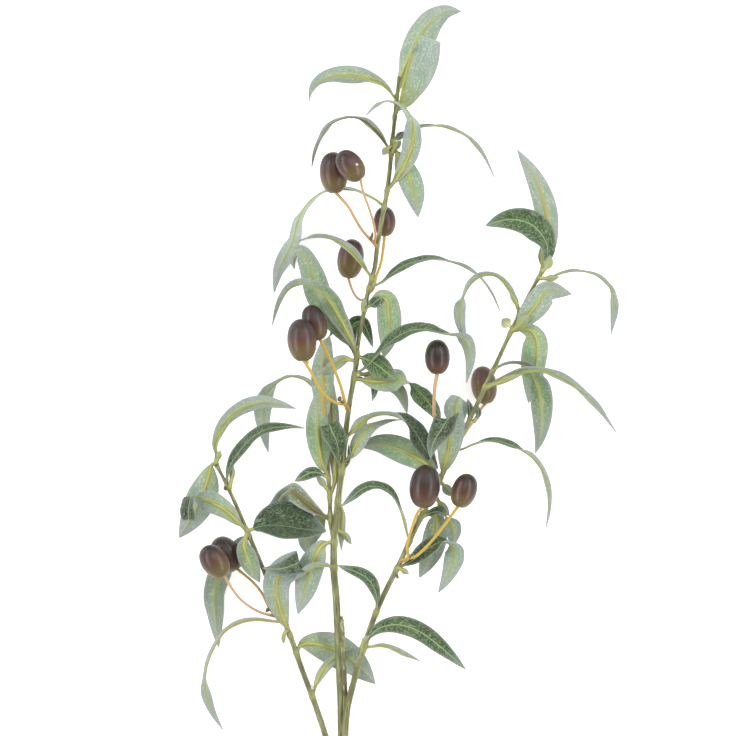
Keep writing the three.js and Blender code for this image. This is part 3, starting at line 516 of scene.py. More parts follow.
def lay_leaf(mesh, width, fold, points, turns, number):
    """Lays the slab's vertices on the leaf's route, and gives their place on the blade and their share."""
    co = np.empty(len(mesh.vertices) * 3)
    mesh.vertices.foreach_get("co", co)
    column, row, layer = co.reshape(-1, 3).T
    line, shares, length = smooth_line(points)
    steps, upper = leaf_frames(line, shares, turns)
    share, half, aside, height = section(column, row, layer, width, length, number)

    lift = math.radians(fold) * np.clip(share * length / (2 * PETIOLE_LENGTH), 0, 1)
    lean = lift * np.clip(aside / CREASE, 0, 1)
    across = np.sign(column) * (aside * np.cos(lift) - height * np.sin(lean))
    above = aside * np.sin(lift) + height * np.cos(lean)
    along = tangents(line, shares, share)
    normal = read_at(upper, steps, share)
    normal = unit(normal - along * (normal * along).sum(axis=1, keepdims=True))
    side = np.cross(along, normal)
    place = read_at(line, shares, share) + side * across[:, None] + normal * above[:, None]
    place[:, 2] = np.maximum(place[:, 2], SURFACE)
    mesh.vertices.foreach_set("co", placed(place).ravel())
    return (np.sign(column) * aside, share * length + number * NUMBER_GAP, half - aside), share


# %% Grow a leaf
HUSK = -1  # the tone of what is plastic all over
DYE_STEP, PLAIN_DYES = 0.618, 0.6  # from leaf to leaf, and the most that a spine has by itself
LEAF_SMOOTH_ANGLE = math.radians(50)
leaf_numbers = itertools.count(1)


def store(mesh, name, columns):
    """Keeps a vector at each vertex, of arrays or of numbers, under a name that materials can read."""
    vectors = np.empty((len(mesh.vertices), 3), np.float32)
    for i, column in enumerate(columns):
        vectors[:, i] = column
    mesh.attributes.new(name, "FLOAT_VECTOR", "POINT").data.foreach_set("vector", vectors.ravel())


def select_only(piece):
    bpy.ops.object.select_all(action="DESELECT")
    piece.select_set(True)
    bpy.context.view_layer.objects.active = piece


def set_on(piece, node):
    """Fixes a piece to the branch's one body, and hides the solid that it stands in for."""
    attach(piece, "root")
    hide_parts(node)


def grow_leaf(name, node, width, fold, points, turns, tone):
    """One leaf: a copy of the slab with a mesh of its own, laid, dressed and set on its stem."""
    number = next(leaf_numbers)
    leaf = slab.copy()
    leaf.data = slab.data.copy()
    leaf.name = name
    bpy.context.collection.objects.link(leaf)
    blade, share = lay_leaf(leaf.data, width, fold, points, turns, number)
    tones = np.atleast_1d(tone)
    own_tone = np.interp(share, np.linspace(0, 1, len(tones)), tones)
    dye = SPINE_DYES.get(name, number * DYE_STEP % PLAIN_DYES)
    store(leaf.data, "blade", blade)
    store(leaf.data, "look", (share, np.maximum(own_tone, 0), dye))
    if tone == HUSK:
        for face in leaf.data.polygons:
            face.material_index = SPINE
    select_only(leaf)
    bpy.ops.object.shade_smooth_by_angle(angle=LEAF_SMOOTH_ANGLE)
    set_on(leaf, node)


# %% [markdown]
# ## The leaves
# Each row holds a leaf's place, its width, its fold in degrees, the points of its midrib, its turns, and
# its tone. A turn of 0 shows the upper face to the sky, 180 the underside, and 90 the edge. A tone of 0 is
# an old grey leaf, 1 a fresh green one, and 2 an underside as dark as the upper face. Turns and tones are
# one for the whole leaf, or a list from root to tip. A few spines have a dye of their own: from 0.5 to 1
# they turn tan, up to 2 brown, which has run into the cloth, and below 0 wan.

# %% Leaf tables
SPINE_DYES = {
    "centre_leaf_04": 1.6, "rear_leaf_02": 1.0, "rear_leaf_05": 2.0, "left_leaf_02": 1.5,
    "left_leaf_06": 0.6, "left_leaf_09": 0.9, "right_leaf_01": 0.75, "right_leaf_06": -1.0,
    "small_leaf_01": -0.3,
}
CENTRE_LEAVES = [
    ["tip, rear", 20, 20, [(17.3, 162.8, 40.6), (20.3, 175, 40), (24.3, 185.5, 39), (29, 195, 38),
        (34.3, 203.5, 37), (40.3, 209.8, 36), (47.3, 213.8, 35), (56, 214.2, 33)], [130, 138, 150, 168, 185,
        195], 0.6],
    ["tip, front, folded back", 34, 45, [(16.1, 150.9, 40.3), (19.3, 160, 44), (21, 168.5, 47),
        (23.3, 178, 49), (25.8, 187, 50.5), (28.2, 194.5, 50.8), (29.8, 198.4, 49.3), (30.4, 199.4, 46),
        (29, 196, 43.3), (26.5, 189, 42.6), (24, 181, 42.6)], 130, 0.25],
    ["top left arch", 12.5, 20, [(17.1, 160.7, 40.5), (12, 167, 43), (6, 171, 44), (-3, 174, 44.5),
        (-14, 175.2, 44), (-23, 174.2, 42), (-30, 171, 39), (-33.7, 166, 37), (-35.3, 160, 36)], [105, 115,
        130, 150, 150, 145, 130, 110], 0.5],
    ["second left arch", 12, 6, [(14, 129, 39.6), (10, 135.5, 42), (4.8, 142, 44.5), (-1.5, 147.7, 45),
        (-8, 150.3, 45), (-15, 149.7, 44.5), (-22.5, 146, 42.5), (-28.3, 138, 39), (-32, 128.5, 36.5),
        (-33.8, 120.5, 35)], [125, 122, 112, 92, 90, 105, 112, 112], 0.3],
    ["high loop to the left", 12.5, 12, [(11.6, 107, 38.9), (16, 112, 42), (20.3, 118.5, 45), (24, 126, 48),
        (26.2, 133, 50), (27.3, 141, 51), (26.6, 148, 51.5), (24, 153.3, 51.5), (20, 157.3, 51),
        (16, 159.3, 50.5), (10, 159.8, 50), (4, 157, 49), (-1.5, 151, 48)], [180, 180, 180, 180, 190, 215,
        255, 270, 265, 240, 240], 0.2],
    ["hanging under the loop", 14.5, 12, [(14.3, 133, 39.8), (18, 128, 41.5), (22, 120, 42.5),
        (25.5, 112, 43), (28.5, 102, 42.5), (30, 90.5, 41)], 180, 0.8],
    ["top right arch", 10, 8, [(14.7, 136.7, 39.9), (23, 142, 42), (32, 144.8, 43), (42, 145.3, 43),
        (52, 142.5, 42), (61, 137.5, 40), (69, 127.5, 38), (76, 114.5, 36)], [-75, -80, -95, -105, -110],
        0.4],
    ["long left arch down to the surface", 16, 6, [(9.8, 96.9, 38.7), (4, 101.3, 35.5), (-3, 105, 31.5),
        (-10, 107.8, 27.5), (-18, 108.4, 24.5), (-26, 106.2, 23), (-33, 102, 21), (-38.5, 96, 18.5),
        (-42.3, 88, 15.5), (-44.5, 80, 12.5), (-46.8, 73, 10), (-50.4, 66.5, 5.2), (-53.8, 60, 1.5),
        (-55.4, 54, 0.15), (-56.8, 45.5, 1)], [230, 250, 265, 270, 270, 268, 262, 252, 243, 238, 205, 185,
        180, 180], 0.3],
    ["arch over an olive", 11, 10, [(2.5, 54, 37.8), (-5, 63.8, 43), (-12, 71.6, 47), (-20, 76.6, 49),
        (-28, 78.4, 48.5), (-36, 77.6, 46), (-43.5, 75, 43.5)], [130, 120, 110, 105, 60], 0.3],
    ["broad left, folded back", 16, 12, [(-6.6, 9, 36.3), (-16, 22, 35.5), (-24, 34, 36.5), (-29.5, 44, 38.5),
        (-33, 55, 39.5), (-36.5, 64, 40), (-39.8, 69, 40.3), (-43.5, 69.5, 39.5), (-45.3, 66, 37.5),
        (-44.2, 59.5, 35)], [180, 180, 180, 180, 180, 180, 170], 0.9],
    ["left arch over the broad one", 13, 14, [(-6.7, 7.8, 36.2), (-10.3, 17, 41), (-14.6, 26, 44),
        (-19.4, 34.3, 46.5), (-24, 41.3, 48.5), (-28.6, 46.2, 49.5), (-34, 49.4, 49.5), (-41, 50.4, 48),
        (-47, 47.6, 45.5), (-51.5, 41.5, 42), (-54.8, 34, 39.5), (-57.5, 25.5, 37.5)], [180, 192, 192, 150,
        100, 110, 112, 112], [1.4, 1.5, 1.3, 0.6, 0.2, 0.2]],
    ["right arch, dark", 12, 8, [(0.8, 48.2, 37.6), (9, 52, 42), (15.5, 57.3, 45), (23, 61.8, 47),
        (31, 64.3, 47), (40, 65.3, 46), (50, 63.8, 44), (60, 59.5, 41), (68, 53.5, 38), (74, 45, 35),
        (79.5, 34, 31)], [-72, -68, -60, -57, -66, -80, -88, -92, -94, -96, -98, -100], 0.5],
    ["long right arch", 13, 14, [(-8.1, -3.8, 36), (-1, 1, 41), (5, 7.5, 46), (11, 13.5, 50), (18, 18.8, 53),
        (26, 22.3, 55.5), (35, 22.8, 56.5), (43, 21, 56), (50, 19.8, 55), (55, 18.8, 53.5), (59, 15, 51),
        (61, 9, 49), (61, 2, 47.5), (59, -9, 45)], [-78, -76, -74, -66, -58, -52, -56, -68, -82, -95, -150,
        -178, -180, -180], [0.5, 0.5, 0.6, 1]],
    ["hanging right, broad", 15, 10, [(-1.4, 38.1, 37.3), (4, 41, 41), (8.3, 42.3, 43), (11.5, 39.8, 43.7),
        (12.4, 34, 43), (12.7, 25.5, 41), (11.8, 16, 38), (9.3, 6, 35)], 180, 1],
    ["small dark bract", 7, 12, [(-1.8, 36.2, 37.2), (3, 38.5, 41), (8, 43, 46)], 0, 0.3],
    ["folded behind the stem", 8, 6, [(-6.9, 6, 36.2), (-9.8, 14, 32.5), (-10, 21, 31), (-8, 27, 31),
        (-3, 27, 31.5), (0.2, 20.5, 31.5), (2.8, 12.5, 31)], 0, 0.5],
    ["short dark, right", 13.5, 12, [(-6.8, 7.2, 36.2), (-1, 5.2, 41), (4.5, 2.5, 41.5), (10, -1.8, 41.5),
        (16.8, -7.2, 41)], 0, 1],
    ["short grey, left", 8, 10, [(-7, 4.1, 36.1), (-12, 5, 40.5), (-16, 4.2, 41), (-20, 1.8, 41),
        (-25, -1.2, 41), (-30, -2.8, 41)], [160, 150], 0.1],
    ["right, turned over", 16, 12, [(-8.6, -6.3, 36), (2, -8, 38), (10, -8, 38.5), (17, -6.5, 39),
        (24, -8.5, 40), (28.5, -12, 41), (33, -16.5, 41), (37, -21.5, 41), (40.5, -27, 40.5),
        (43, -34, 39.5)], [180, 180, 180, 180, 150, 95, 60, 35, 15, 0, 0], 0.9],
    ["small dark tip", 5, 10, [(-8.3, -4.6, 36), (-1, -8, 33.5), (3.6, -10.8, 33), (3.8, -15, 33),
        (2.5, -19.8, 33)], 0, 0.3],
    ["pale tip below", 9, 12, [(-8, -3, 36), (4, -5, 32.5), (12, -8, 30.5), (19, -14, 29.5), (22, -21, 29),
        (23.5, -27.5, 28)], 180, 0.35],
    ["right arch to a dark end", 16, 14, [(-13.7, -41.7, 36), (-9, -38, 41), (-5, -34.5, 44), (0, -30.3, 46),
        (6, -28, 47), (13, -27.8, 47.5), (19.5, -30, 47), (25, -34.5, 46), (29.5, -40.5, 44.5),
        (33.5, -47, 41), (37.5, -53.5, 36.5), (42, -60.5, 33)], [-165, -140, -100, -90, -65, -20, 0, 0], 0.1],
    ["pale under that arch", 12, 10, [(-15.3, -58.3, 36), (-9.3, -50.5, 38.5), (-5.3, -43, 40),
        (-1, -37.3, 41), (5, -33.2, 41.8), (12, -31.2, 42), (20, -31, 42)], [150, 150, 135, 110, 95], 0.4],
    ["dark, folded at its top", 14, 10, [(-15.6, -60.8, 36), (-17.8, -55, 40), (-17.8, -50, 42.5),
        (-19, -44, 44), (-21.5, -38, 44.8), (-23, -34.3, 42.5), (-22.8, -35.5, 36), (-22.3, -37.5, 30)], [65,
        62, 40, 5, 0, 0], 0.4],
    ["dark sliver", 4.5, 12, [(-15.8, -62.5, 36), (-11, -55, 38), (-11.5, -46, 39)], -60, 0.3],
    ["low left, pale", 16, 12, [(-20.2, -104.2, 35.9), (-27, -106, 40), (-31, -112, 42), (-35, -122, 42),
        (-38, -134, 41), (-42, -147.5, 39)], 180, 0.35],
    ["low left, grey, in front", 9, 12, [(-20.5, -119.2, 35.3), (-28, -118.5, 44), (-34, -120, 46.5),
        (-39, -123, 46.5), (-44.5, -127.5, 45.5)], 120, 0.2],
    ["lilac sliver", 5, 10, [(-17.9, -79.2, 36), (-15.4, -87, 33), (-15.8, -95, 31), (-16, -103, 30),
        (-16, -109.5, 30)], 160, 0],
]
REAR_LEAVES = [
    ["long pale green", 15, 12, [(-23.6, -65.9, 33.9), (-27.2, -58, 36.5), (-28.7, -50, 38),
        (-29.8, -41, 38.5), (-30.5, -32, 38.5), (-30.6, -23, 37.5), (-30, -13, 36.5)], 180, 1],
    ["tan midrib", 14, 12, [(-25.7, -35.1, 34.9), (-26, -28, 37), (-27, -20, 38), (-27.2, -10, 38.5),
        (-27, 0, 38.5), (-26.5, 9, 38), (-24.5, 17, 37.5), (-20, 24.5, 37)], [180, 180, 180, 180, 150, 30],
        0.6],
    ["narrow pale", 8, 12, [(-23, -77.3, 34), (-19.8, -68, 33.5), (-19.6, -60, 33), (-20.5, -50, 32.5),
        (-21, -40, 32.5), (-21, -28, 33), (-21.8, -14, 33.5), (-22.5, 0, 33)], 180, 0.3],
    ["arch far to the left", 14, 10, [(-25.9, -32.7, 34.9), (-28.3, -24, 33.2), (-31.5, -14, 33),
        (-35, -9.3, 34), (-40, -6, 36), (-46, -4.9, 37), (-51.5, -6.7, 37), (-56.5, -10.6, 35.5),
        (-60.5, -16.3, 33), (-63, -24, 31), (-63.2, -33, 29), (-61.8, -42, 27.5), (-60, -50.5, 26)], [165,
        140, 108, 96, 92, 95, 118, 165, 180, 180, 180], 0.5],
    ["olive midrib, folded", 11.5, 12, [(-22.8, -91, 34.5), (-28, -87.5, 37.5), (-33.5, -83.8, 40.5),
        (-38.5, -79.7, 42.5), (-42.7, -76, 43), (-45.8, -74, 41.5), (-48.5, -75, 35.5), (-51.5, -77.5, 30),
        (-55.5, -83, 28.5), (-61, -87.5, 28), (-68, -91.7, 28)], 180, [1.25, 1.3, 1.3, 1.3, 1.4, 2, 2, 2, 2]],
    ["small dark", 7.5, 8, [(-23.6, -65.9, 33.9), (-28.5, -63.5, 37), (-33, -62.6, 39), (-38, -64.6, 40),
        (-44, -68, 39)], 20, 0.4],
    ["pale behind", 14, 12, [(-22.7, -88.2, 34.3), (-29, -92, 29.5), (-34.5, -98, 27), (-37, -105, 26),
        (-36.5, -112, 26)], 180, 0.4],
    ["small pale", 4.5, 8, [(-23.2, -74.5, 34), (-25.8, -71, 35), (-28, -68, 36), (-31, -65.3, 36)], 180,
        0.3],
]
LEFT_LEAVES = [
    ["tip arch", 10.5, 12, [(-91.6, -56.7, 36), (-91, -52, 38.5), (-91.3, -45.5, 41.5), (-88.9, -39, 44),
        (-85.2, -32.8, 46), (-80.5, -27.8, 47), (-75, -24, 48), (-69.5, -21.8, 48), (-63, -20.5, 47.5),
        (-56, -21.2, 46.5), (-50, -22.4, 45.5), (-43.3, -24.3, 44)], [-130, -130, -142, -160, -180], 0.4],
    ["dark arch", 10.5, 12, [(-84.6, -70.7, 35.2), (-84.3, -64, 38.5), (-81.8, -57.3, 41),
        (-78.8, -52.3, 42.3), (-74.8, -47.3, 43), (-70.3, -42.6, 43), (-65.3, -39, 43), (-60, -36.7, 42.3),
        (-54, -35.6, 41.5), (-47, -35.3, 41), (-38, -36.1, 40.5)], [-52, -46, -50, -55], 0.2],
    ["tip, hanging", 18.5, 12, [(-90.5, -58.9, 35.8), (-92, -57.5, 35.3), (-94, -58.5, 34.8),
        (-95.3, -62.5, 34), (-96.5, -68, 33), (-98.3, -74, 32), (-101.3, -81, 30.5), (-105, -88, 29),
        (-109, -95, 28), (-113.5, -102, 27)], 180, 0.35],
    ["left, tip turned over", 14, 12, [(-73, -97, 34), (-78, -92.5, 38), (-83, -87.3, 40), (-88.5, -83.3, 42),
        (-94, -80.3, 43), (-99, -78.7, 44), (-103, -77.3, 45), (-105.8, -78, 46.5), (-107, -82, 47),
        (-107.5, -87, 46.5), (-107.5, -90.3, 44), (-107.5, -91, 38), (-107.3, -89.5, 32)], [180, 180, 180,
        180, 175, 120, 60, 10, 0, 0], [0.5, 0.5, 0.1, 0]],
    ["big dark", 32, 33, [(-72.5, -98.1, 34), (-65, -95.3, 34.8), (-57, -94.5, 35.2), (-48, -95.3, 35.2),
        (-38, -97, 35.2), (-25, -98, 35.8)], -32, 0.15],
    ["upright, dark tip", 17, 8, [(-47, -160, 32), (-51, -150, 36), (-54, -140, 39), (-55, -132, 41),
        (-53.5, -125.5, 42.3), (-49, -120.6, 43), (-43.4, -117.3, 43.8), (-41.2, -116.4, 46.8),
        (-43.9, -117.6, 49.6), (-49.6, -119.6, 50), (-56.5, -120.4, 49.3), (-63, -119.8, 48.3)], 180, 0.1],
    ["short hanging", 12, 12, [(-72.5, -98.1, 34), (-74.3, -106, 38), (-72.5, -113, 40), (-69.5, -120, 40),
        (-65, -128.5, 38)], 180, [1.3, 1.35, 1.2, 0.5]],
    ["hanging down to the surface", 15, 12, [(-71.5, -100.5, 33.9), (-74.5, -103.5, 25), (-78, -108.5, 16.5),
        (-84.5, -116, 11), (-90, -127, 8), (-92.6, -138, 5.2), (-92.2, -150, 1.2), (-90.3, -168.8, 1.5)],
        [180, 165, 150, 158, 180, 180], 0.45],
    ["long low arch", 10.5, 8, [(-49.8, -152.8, 32.2), (-58, -151.8, 38), (-66, -151, 40), (-74, -152, 39),
        (-82, -155.3, 37), (-88, -160.5, 34), (-93, -169, 31), (-97, -180, 27), (-97.8, -193, 23),
        (-94, -206, 20), (-87.5, -218, 17)], [115, 114, 104, 94, 104, 155, 165], [0.35, 0.35, 0.1]],
    ["broad, behind the stems", 20, 12, [(-43.1, -170.8, 31.5), (-40, -166.5, 28), (-33, -165.8, 26),
        (-22, -168.8, 25), (-12, -174.5, 24), (-4, -181.5, 23), (4.3, -190, 22)], 180, 0.35],
    ["narrow, behind the stems", 7, 12, [(-33.6, -197.3, 29.7), (-31, -189, 30.5), (-27.5, -182.5, 29.5),
        (-22, -176, 27.5), (-14, -171, 26.8), (-5, -168.5, 27.5)], 150, 0.6],
]
RIGHT_LEAVES = [
    ["tip, pale", 14, 12, [(104.6, 58.3, 41), (107.3, 67, 42), (108.6, 76, 41.5), (108, 86, 40.5),
        (106.5, 95, 39.5), (103.5, 106, 38), (98.3, 117, 37), (89.7, 131, 35)], 180, 0.35],
    ["tip, dark", 17, 12, [(104.6, 58.3, 41), (107.3, 66, 45.5), (107, 73.5, 48.5), (103, 81, 49.5),
        (96.5, 86.5, 49.8), (88.2, 88.8, 49.3), (80, 88.3, 48.3), (70.5, 85.3, 46)], [60, 45, 10, 0, 0], 0.6],
    ["tip sheath", 6, 12, [(103.8, 56.8, 41), (105, 65, 43), (104, 73.5, 44)], 180, HUSK],
    ["far right arch", 10, 8, [(102.1, 53.9, 41), (108, 53.8, 43), (113, 56, 44.5), (119, 57.8, 45),
        (125, 58.4, 45), (131, 57.8, 44.5), (137, 55.6, 43.5), (142, 51.6, 42), (145.8, 47, 40.5),
        (147.5, 41, 38.5), (147.6, 34, 36.5), (146.8, 27, 34.5), (146, 20.5, 32.5)], [-60, -78, -86, -90, -92,
        -96, -110, -132, -145, -150], 0.2],
    ["broad, folded at its top", 15.5, 12, [(85.4, 21.1, 41), (92.3, 27, 45), (97.3, 33.3, 48),
        (101.5, 38.8, 49.5), (105, 43.5, 50), (107.8, 46, 48.5), (111.5, 46.3, 45.5), (116, 45.5, 43),
        (122, 44.3, 41)], 180, 0.35],
    ["yellow bract", 7, 12, [(86.8, 24.1, 41), (84, 26, 38.5), (80.5, 29.5, 36.5)], 180, HUSK],
    ["left arch, hanging end", 11, 10, [(91, 33, 41), (88, 40, 45), (84.8, 46.5, 49), (80.3, 52.5, 52),
        (75, 55.6, 54), (68, 55, 54), (62, 51, 53), (57.8, 44.5, 51.5), (55.6, 37, 49.5), (55, 29, 48.5),
        (57, 20.5, 47.5), (59.5, 13.5, 46)], [150, 140, 118, 108, 106, 106, 100, 93, 150, 180, 185, 180],
        0.3],
    ["right arch, yellow rib", 12, 8, [(70.5, -11.1, 41), (78, -7.3, 45), (86, -4.2, 47), (95, -2, 48),
        (105, -2, 48), (113, -4.4, 47), (120, -8.6, 45.8), (128, -14.3, 43.5), (136, -22, 40.5),
        (149, -38.5, 35)], [-115, -116, -110, -111, -115, -118], [1.9, 1.6, 0.5, 0.2, 0]],
    # Its tones above 1 darken its underside: painted shade, where it hangs in shadow
    ["hanging, mid green", 15, 12, [(75, -1.5, 41), (79, 1.3, 42.5), (84, 3, 43), (89, 3.2, 42.5),
        (94, 1.5, 41), (98.5, -3, 39), (102, -11, 37.5), (104, -21, 36), (104.3, -33, 35), (103, -43, 34),
        (100.5, -51, 33)], [-60, -85, -110, -150, -175, -180, -180], [1.9, 1.6, 1.36, 1.34, 1.3]],
    ["hanging, light green", 18.5, 25, [(85.9, 22.1, 41), (92.5, 23.3, 41.5), (97.3, 22.3, 41.5),
        (100.5, 18, 41), (101.3, 11, 39.5), (100.8, 3, 37.5), (99.5, -7, 35), (98, -15, 33), (96.5, -21, 31)],
        [170, 155], 1],
    ["thin long arch", 10, 12, [(51.4, -50.2, 40.8), (57, -48.2, 43), (63, -45.6, 45), (70, -43.7, 46),
        (77, -44, 46), (84, -45.7, 45.5), (91, -48.5, 44.5), (97.5, -52.8, 43), (102.5, -58.5, 41),
        (106, -65.5, 38.5), (108, -75, 35), (108.5, -85, 32), (107, -96, 29)], [-100, -92, -68, -66, -98,
        -108, -112, -118, -120], 0.4],
    ["upright, dark end turned over", 17.5, 12, [(43.4, -66.2, 40.5), (46, -58, 45.5), (48, -49, 48.5),
        (49, -41, 50.5), (49.2, -35, 51), (49, -30.5, 53), (47.6, -31, 57.5), (44.5, -35.5, 59),
        (41, -41, 59), (38.5, -46.5, 58.5), (37.3, -54, 57.5)], 180, 0.15],
    ["pale, behind the stem", 14.5, 10, [(57.5, -38, 40.9), (54, -31, 38.5), (52.7, -25, 37.5),
        (53.8, -19.5, 36.5), (54.8, -17.3, 34.5), (54.5, -19, 31)], 180, 0.4],
    ["long pale, to the middle stem", 16, 12, [(43.4, -66.2, 40.5), (38, -60, 38), (31, -55, 36.5),
        (23, -50.5, 35.5), (15, -47.3, 34.5), (7, -45.5, 33.5), (0, -45.8, 33), (-6, -47.5, 32.5)], 180, 1],
    ["arch to the middle stem", 11, 12, [(24.9, -104.1, 39.6), (22.5, -95, 44), (20, -86, 47), (16, -78, 50),
        (10.5, -72.8, 51), (3, -70.8, 51), (-4, -73, 50), (-10, -77.8, 48.5), (-16, -83, 47)], [100, 95, 88,
        80, 65, 48, 30, 25], 0.4],
    ["dark, to the middle stem", 10, 12, [(5, -146.3, 37.9), (5.3, -138.5, 42), (3.5, -132, 45),
        (0, -126.8, 46), (-5, -123.3, 46), (-11, -121, 46), (-18, -118.3, 45)], [60, 50, 45, 35, 35], 0.4],
    ["low right, dark", 12, 12, [(-1.9, -165.7, 36.5), (1.5, -160.5, 39), (6, -156.5, 41), (12, -154.3, 42.5),
        (19, -154, 43), (27, -156.3, 43), (35, -160.7, 42.5), (43, -166.8, 42), (51, -173.8, 41),
        (58.5, -180.7, 39)], -15, 0.6],
    ["low right, thin", 7, 12, [(-2.7, -167.9, 36.3), (8, -166.8, 37.5), (16, -169, 38), (23, -172.5, 37),
        (31.5, -176, 36)], -120, 0.5],
    ["pale, long, behind the stalk", 15, 12, [(33.8, -85.2, 40.2), (40.5, -88.5, 36), (41, -97, 34),
        (39, -107, 32), (35.8, -116, 31), (31, -126, 30)], 180, 0.4],
    ["dark to pale, behind the stalk", 13, 12, [(31.6, -89.7, 40.1), (38, -87, 42), (43, -86.5, 43),
        (47.5, -90, 42), (50.5, -96, 40), (51, -101, 38.5), (50.5, -107.5, 37)], [0, -60, -150, -180], 0.6],
    ["dark, pale end turned down", 14.5, 12, [(17.5, -120.2, 38.9), (26, -116, 40.5), (33, -110.5, 42),
        (40, -106, 43), (45.5, -104.3, 43), (49.5, -106, 42.5), (51.5, -111, 42), (50.5, -118, 40.5),
        (47, -126.5, 39), (42.3, -134.7, 38)], [-50, -36, -30, -40, -90, -150, -180, -180, -180], [0.2, 0.2,
        0.3, 0.6, 0.6]],
    ["small pale", 6, 12, [(42.8, -67.5, 40.5), (46, -71, 37.5), (50.5, -77, 35.5)], 180, 0.2],
]

# %% [markdown]
# Between the leaves sit small things of the same make: sheaths round the leaves' roots, bracts, and the
# tips of leaves that stay small. They use the same slab, and their rows are grouped by the stem's node.

# %% Small leaves and sheaths
SMALL_LEAVES = {
    "right_leafy_stem": [
        ["tip sheath, front", 6.5, 20, [(104.3, 57.5, 42.5), (107, 61, 47), (109.3, 67.5, 49)], 180, HUSK],
        ["bulge under the far arch", 4.2, 10, [(102.3, 54, 42), (108, 53.6, 45), (114.5, 54.6, 46.5)], 180,
            HUSK],
        ["sheath of the broad leaf", 6.5, 20, [(85.6, 21.8, 42), (91, 26.2, 47), (96.5, 31.8, 49.5)], 180,
            HUSK],
        ["sheath of the left arch", 4, 10, [(90.8, 33.2, 42.5), (88.4, 40, 46.5), (84.8, 46.8, 50.3)], 180,
            HUSK],
        ["rib of the long arch", 3.8, 0, [(70.8, -11.6, 42), (78, -8.8, 46), (85, -6, 48.3),
            (93, -3.6, 49.4)], 180, HUSK],
        ["low bract", 3.2, 10, [(-4.2, -168.5, 37), (-2.3, -163.5, 40), (0.8, -160.3, 41)], 180, HUSK],
        ["bract under the pair", 3.6, 10, [(17.8, -119.6, 40), (20.5, -121, 41.5), (24.5, -123.4, 41)], 180,
            HUSK],
        ["pale, short", 5.5, 12, [(40.3, -76, 38), (43, -81, 37.5), (48.8, -88.8, 36)], 180, 0],
        ["dark bud leaf", 4.5, 12, [(59.5, -34, 40), (61.3, -27, 38.5), (59.7, -18.5, 38)], 0, 0.1],
        ["dark bud leaf, right", 3.6, 12, [(63, -32.5, 40), (66, -28.5, 39.5), (66.3, -23, 39)], 0, 0.1],
    ],
    "centre_leafy_stem": [
        ["high bract, dark", 4.4, 12, [(14.9, 134.8, 41), (18, 138, 43), (21.8, 141.8, 43.5)], 0, 0.2],
        ["high bract, grey", 4.6, 12, [(14.3, 132.8, 41), (11.7, 131.5, 42), (8.6, 127.8, 42)], 180, 0],
        ["high sheath", 4.4, 10, [(14.2, 128.5, 41), (16.6, 132.5, 43.5), (19.8, 136.3, 44.5)], 180, HUSK],
        ["lilac nub", 3.6, 12, [(-2.6, 33.5, 38.5), (-3.2, 37, 39.5), (-1.4, 41.5, 40)], 160, 0],
        ["grey tip", 4, 12, [(-19.3, -97, 34), (-14, -100, 32.5), (-10, -106, 32)], 180, 0],
    ],
    "left_leafy_stem": [
        ["sheath of the tip arch", 3.6, 10, [(-91.4, -57.2, 37.3), (-89.8, -53.5, 40), (-88.6, -49.5, 41.5)],
            180, HUSK],
        ["sheath of the dark arch", 3.4, 10, [(-83.2, -72.5, 36.3), (-81.6, -65, 38), (-81.2, -57.5, 39)],
            180, HUSK],
        ["hairs at the low arch", 2.6, 10, [(-48.6, -157.2, 34), (-50.5, -160.5, 34.5), (-50.8, -165.5, 34)],
            180, HUSK],
    ],
}

# %% Grow the leaves
def grow_leaves(rows, node, family, first=1):
    for i, (_, *form) in enumerate(rows, first):
        grow_leaf(f"{family}_leaf_{i:02d}", node, *form)
    print(family, "leaves on the", node.replace("_", " "), len(rows))


grow_leaves(CENTRE_LEAVES, "centre_leafy_stem", "centre")
grow_leaves(REAR_LEAVES, "centre_leafy_stem", "rear")
grow_leaves(LEFT_LEAVES, "left_leafy_stem", "left")
grow_leaves(RIGHT_LEAVES, "right_leafy_stem", "right")
first = 1
for node, rows in SMALL_LEAVES.items():
    grow_leaves(rows, node, "small", first)
    first += len(rows)
bpy.data.objects.remove(slab)

# %% [markdown]
# ## The stems
# A stem is a wire wrapped and dipped in green plastic. A grid is rolled into a tube, so that its rows stay
# in step with its length, and laid on its route. Its skin has long furrows, and it swells under each leaf.

# %% Stem material
STEM_STREAKS = 0.9  # in a millimetre of the stem's width
ALONG_STRETCH = (1.0, 1.0, 0.12)  # so that a streak is eight times as long as it is wide
AGED_PATCHES = 0.11  # in a millimetre, so one every 9
FLECKS = 1.1  # in a millimetre


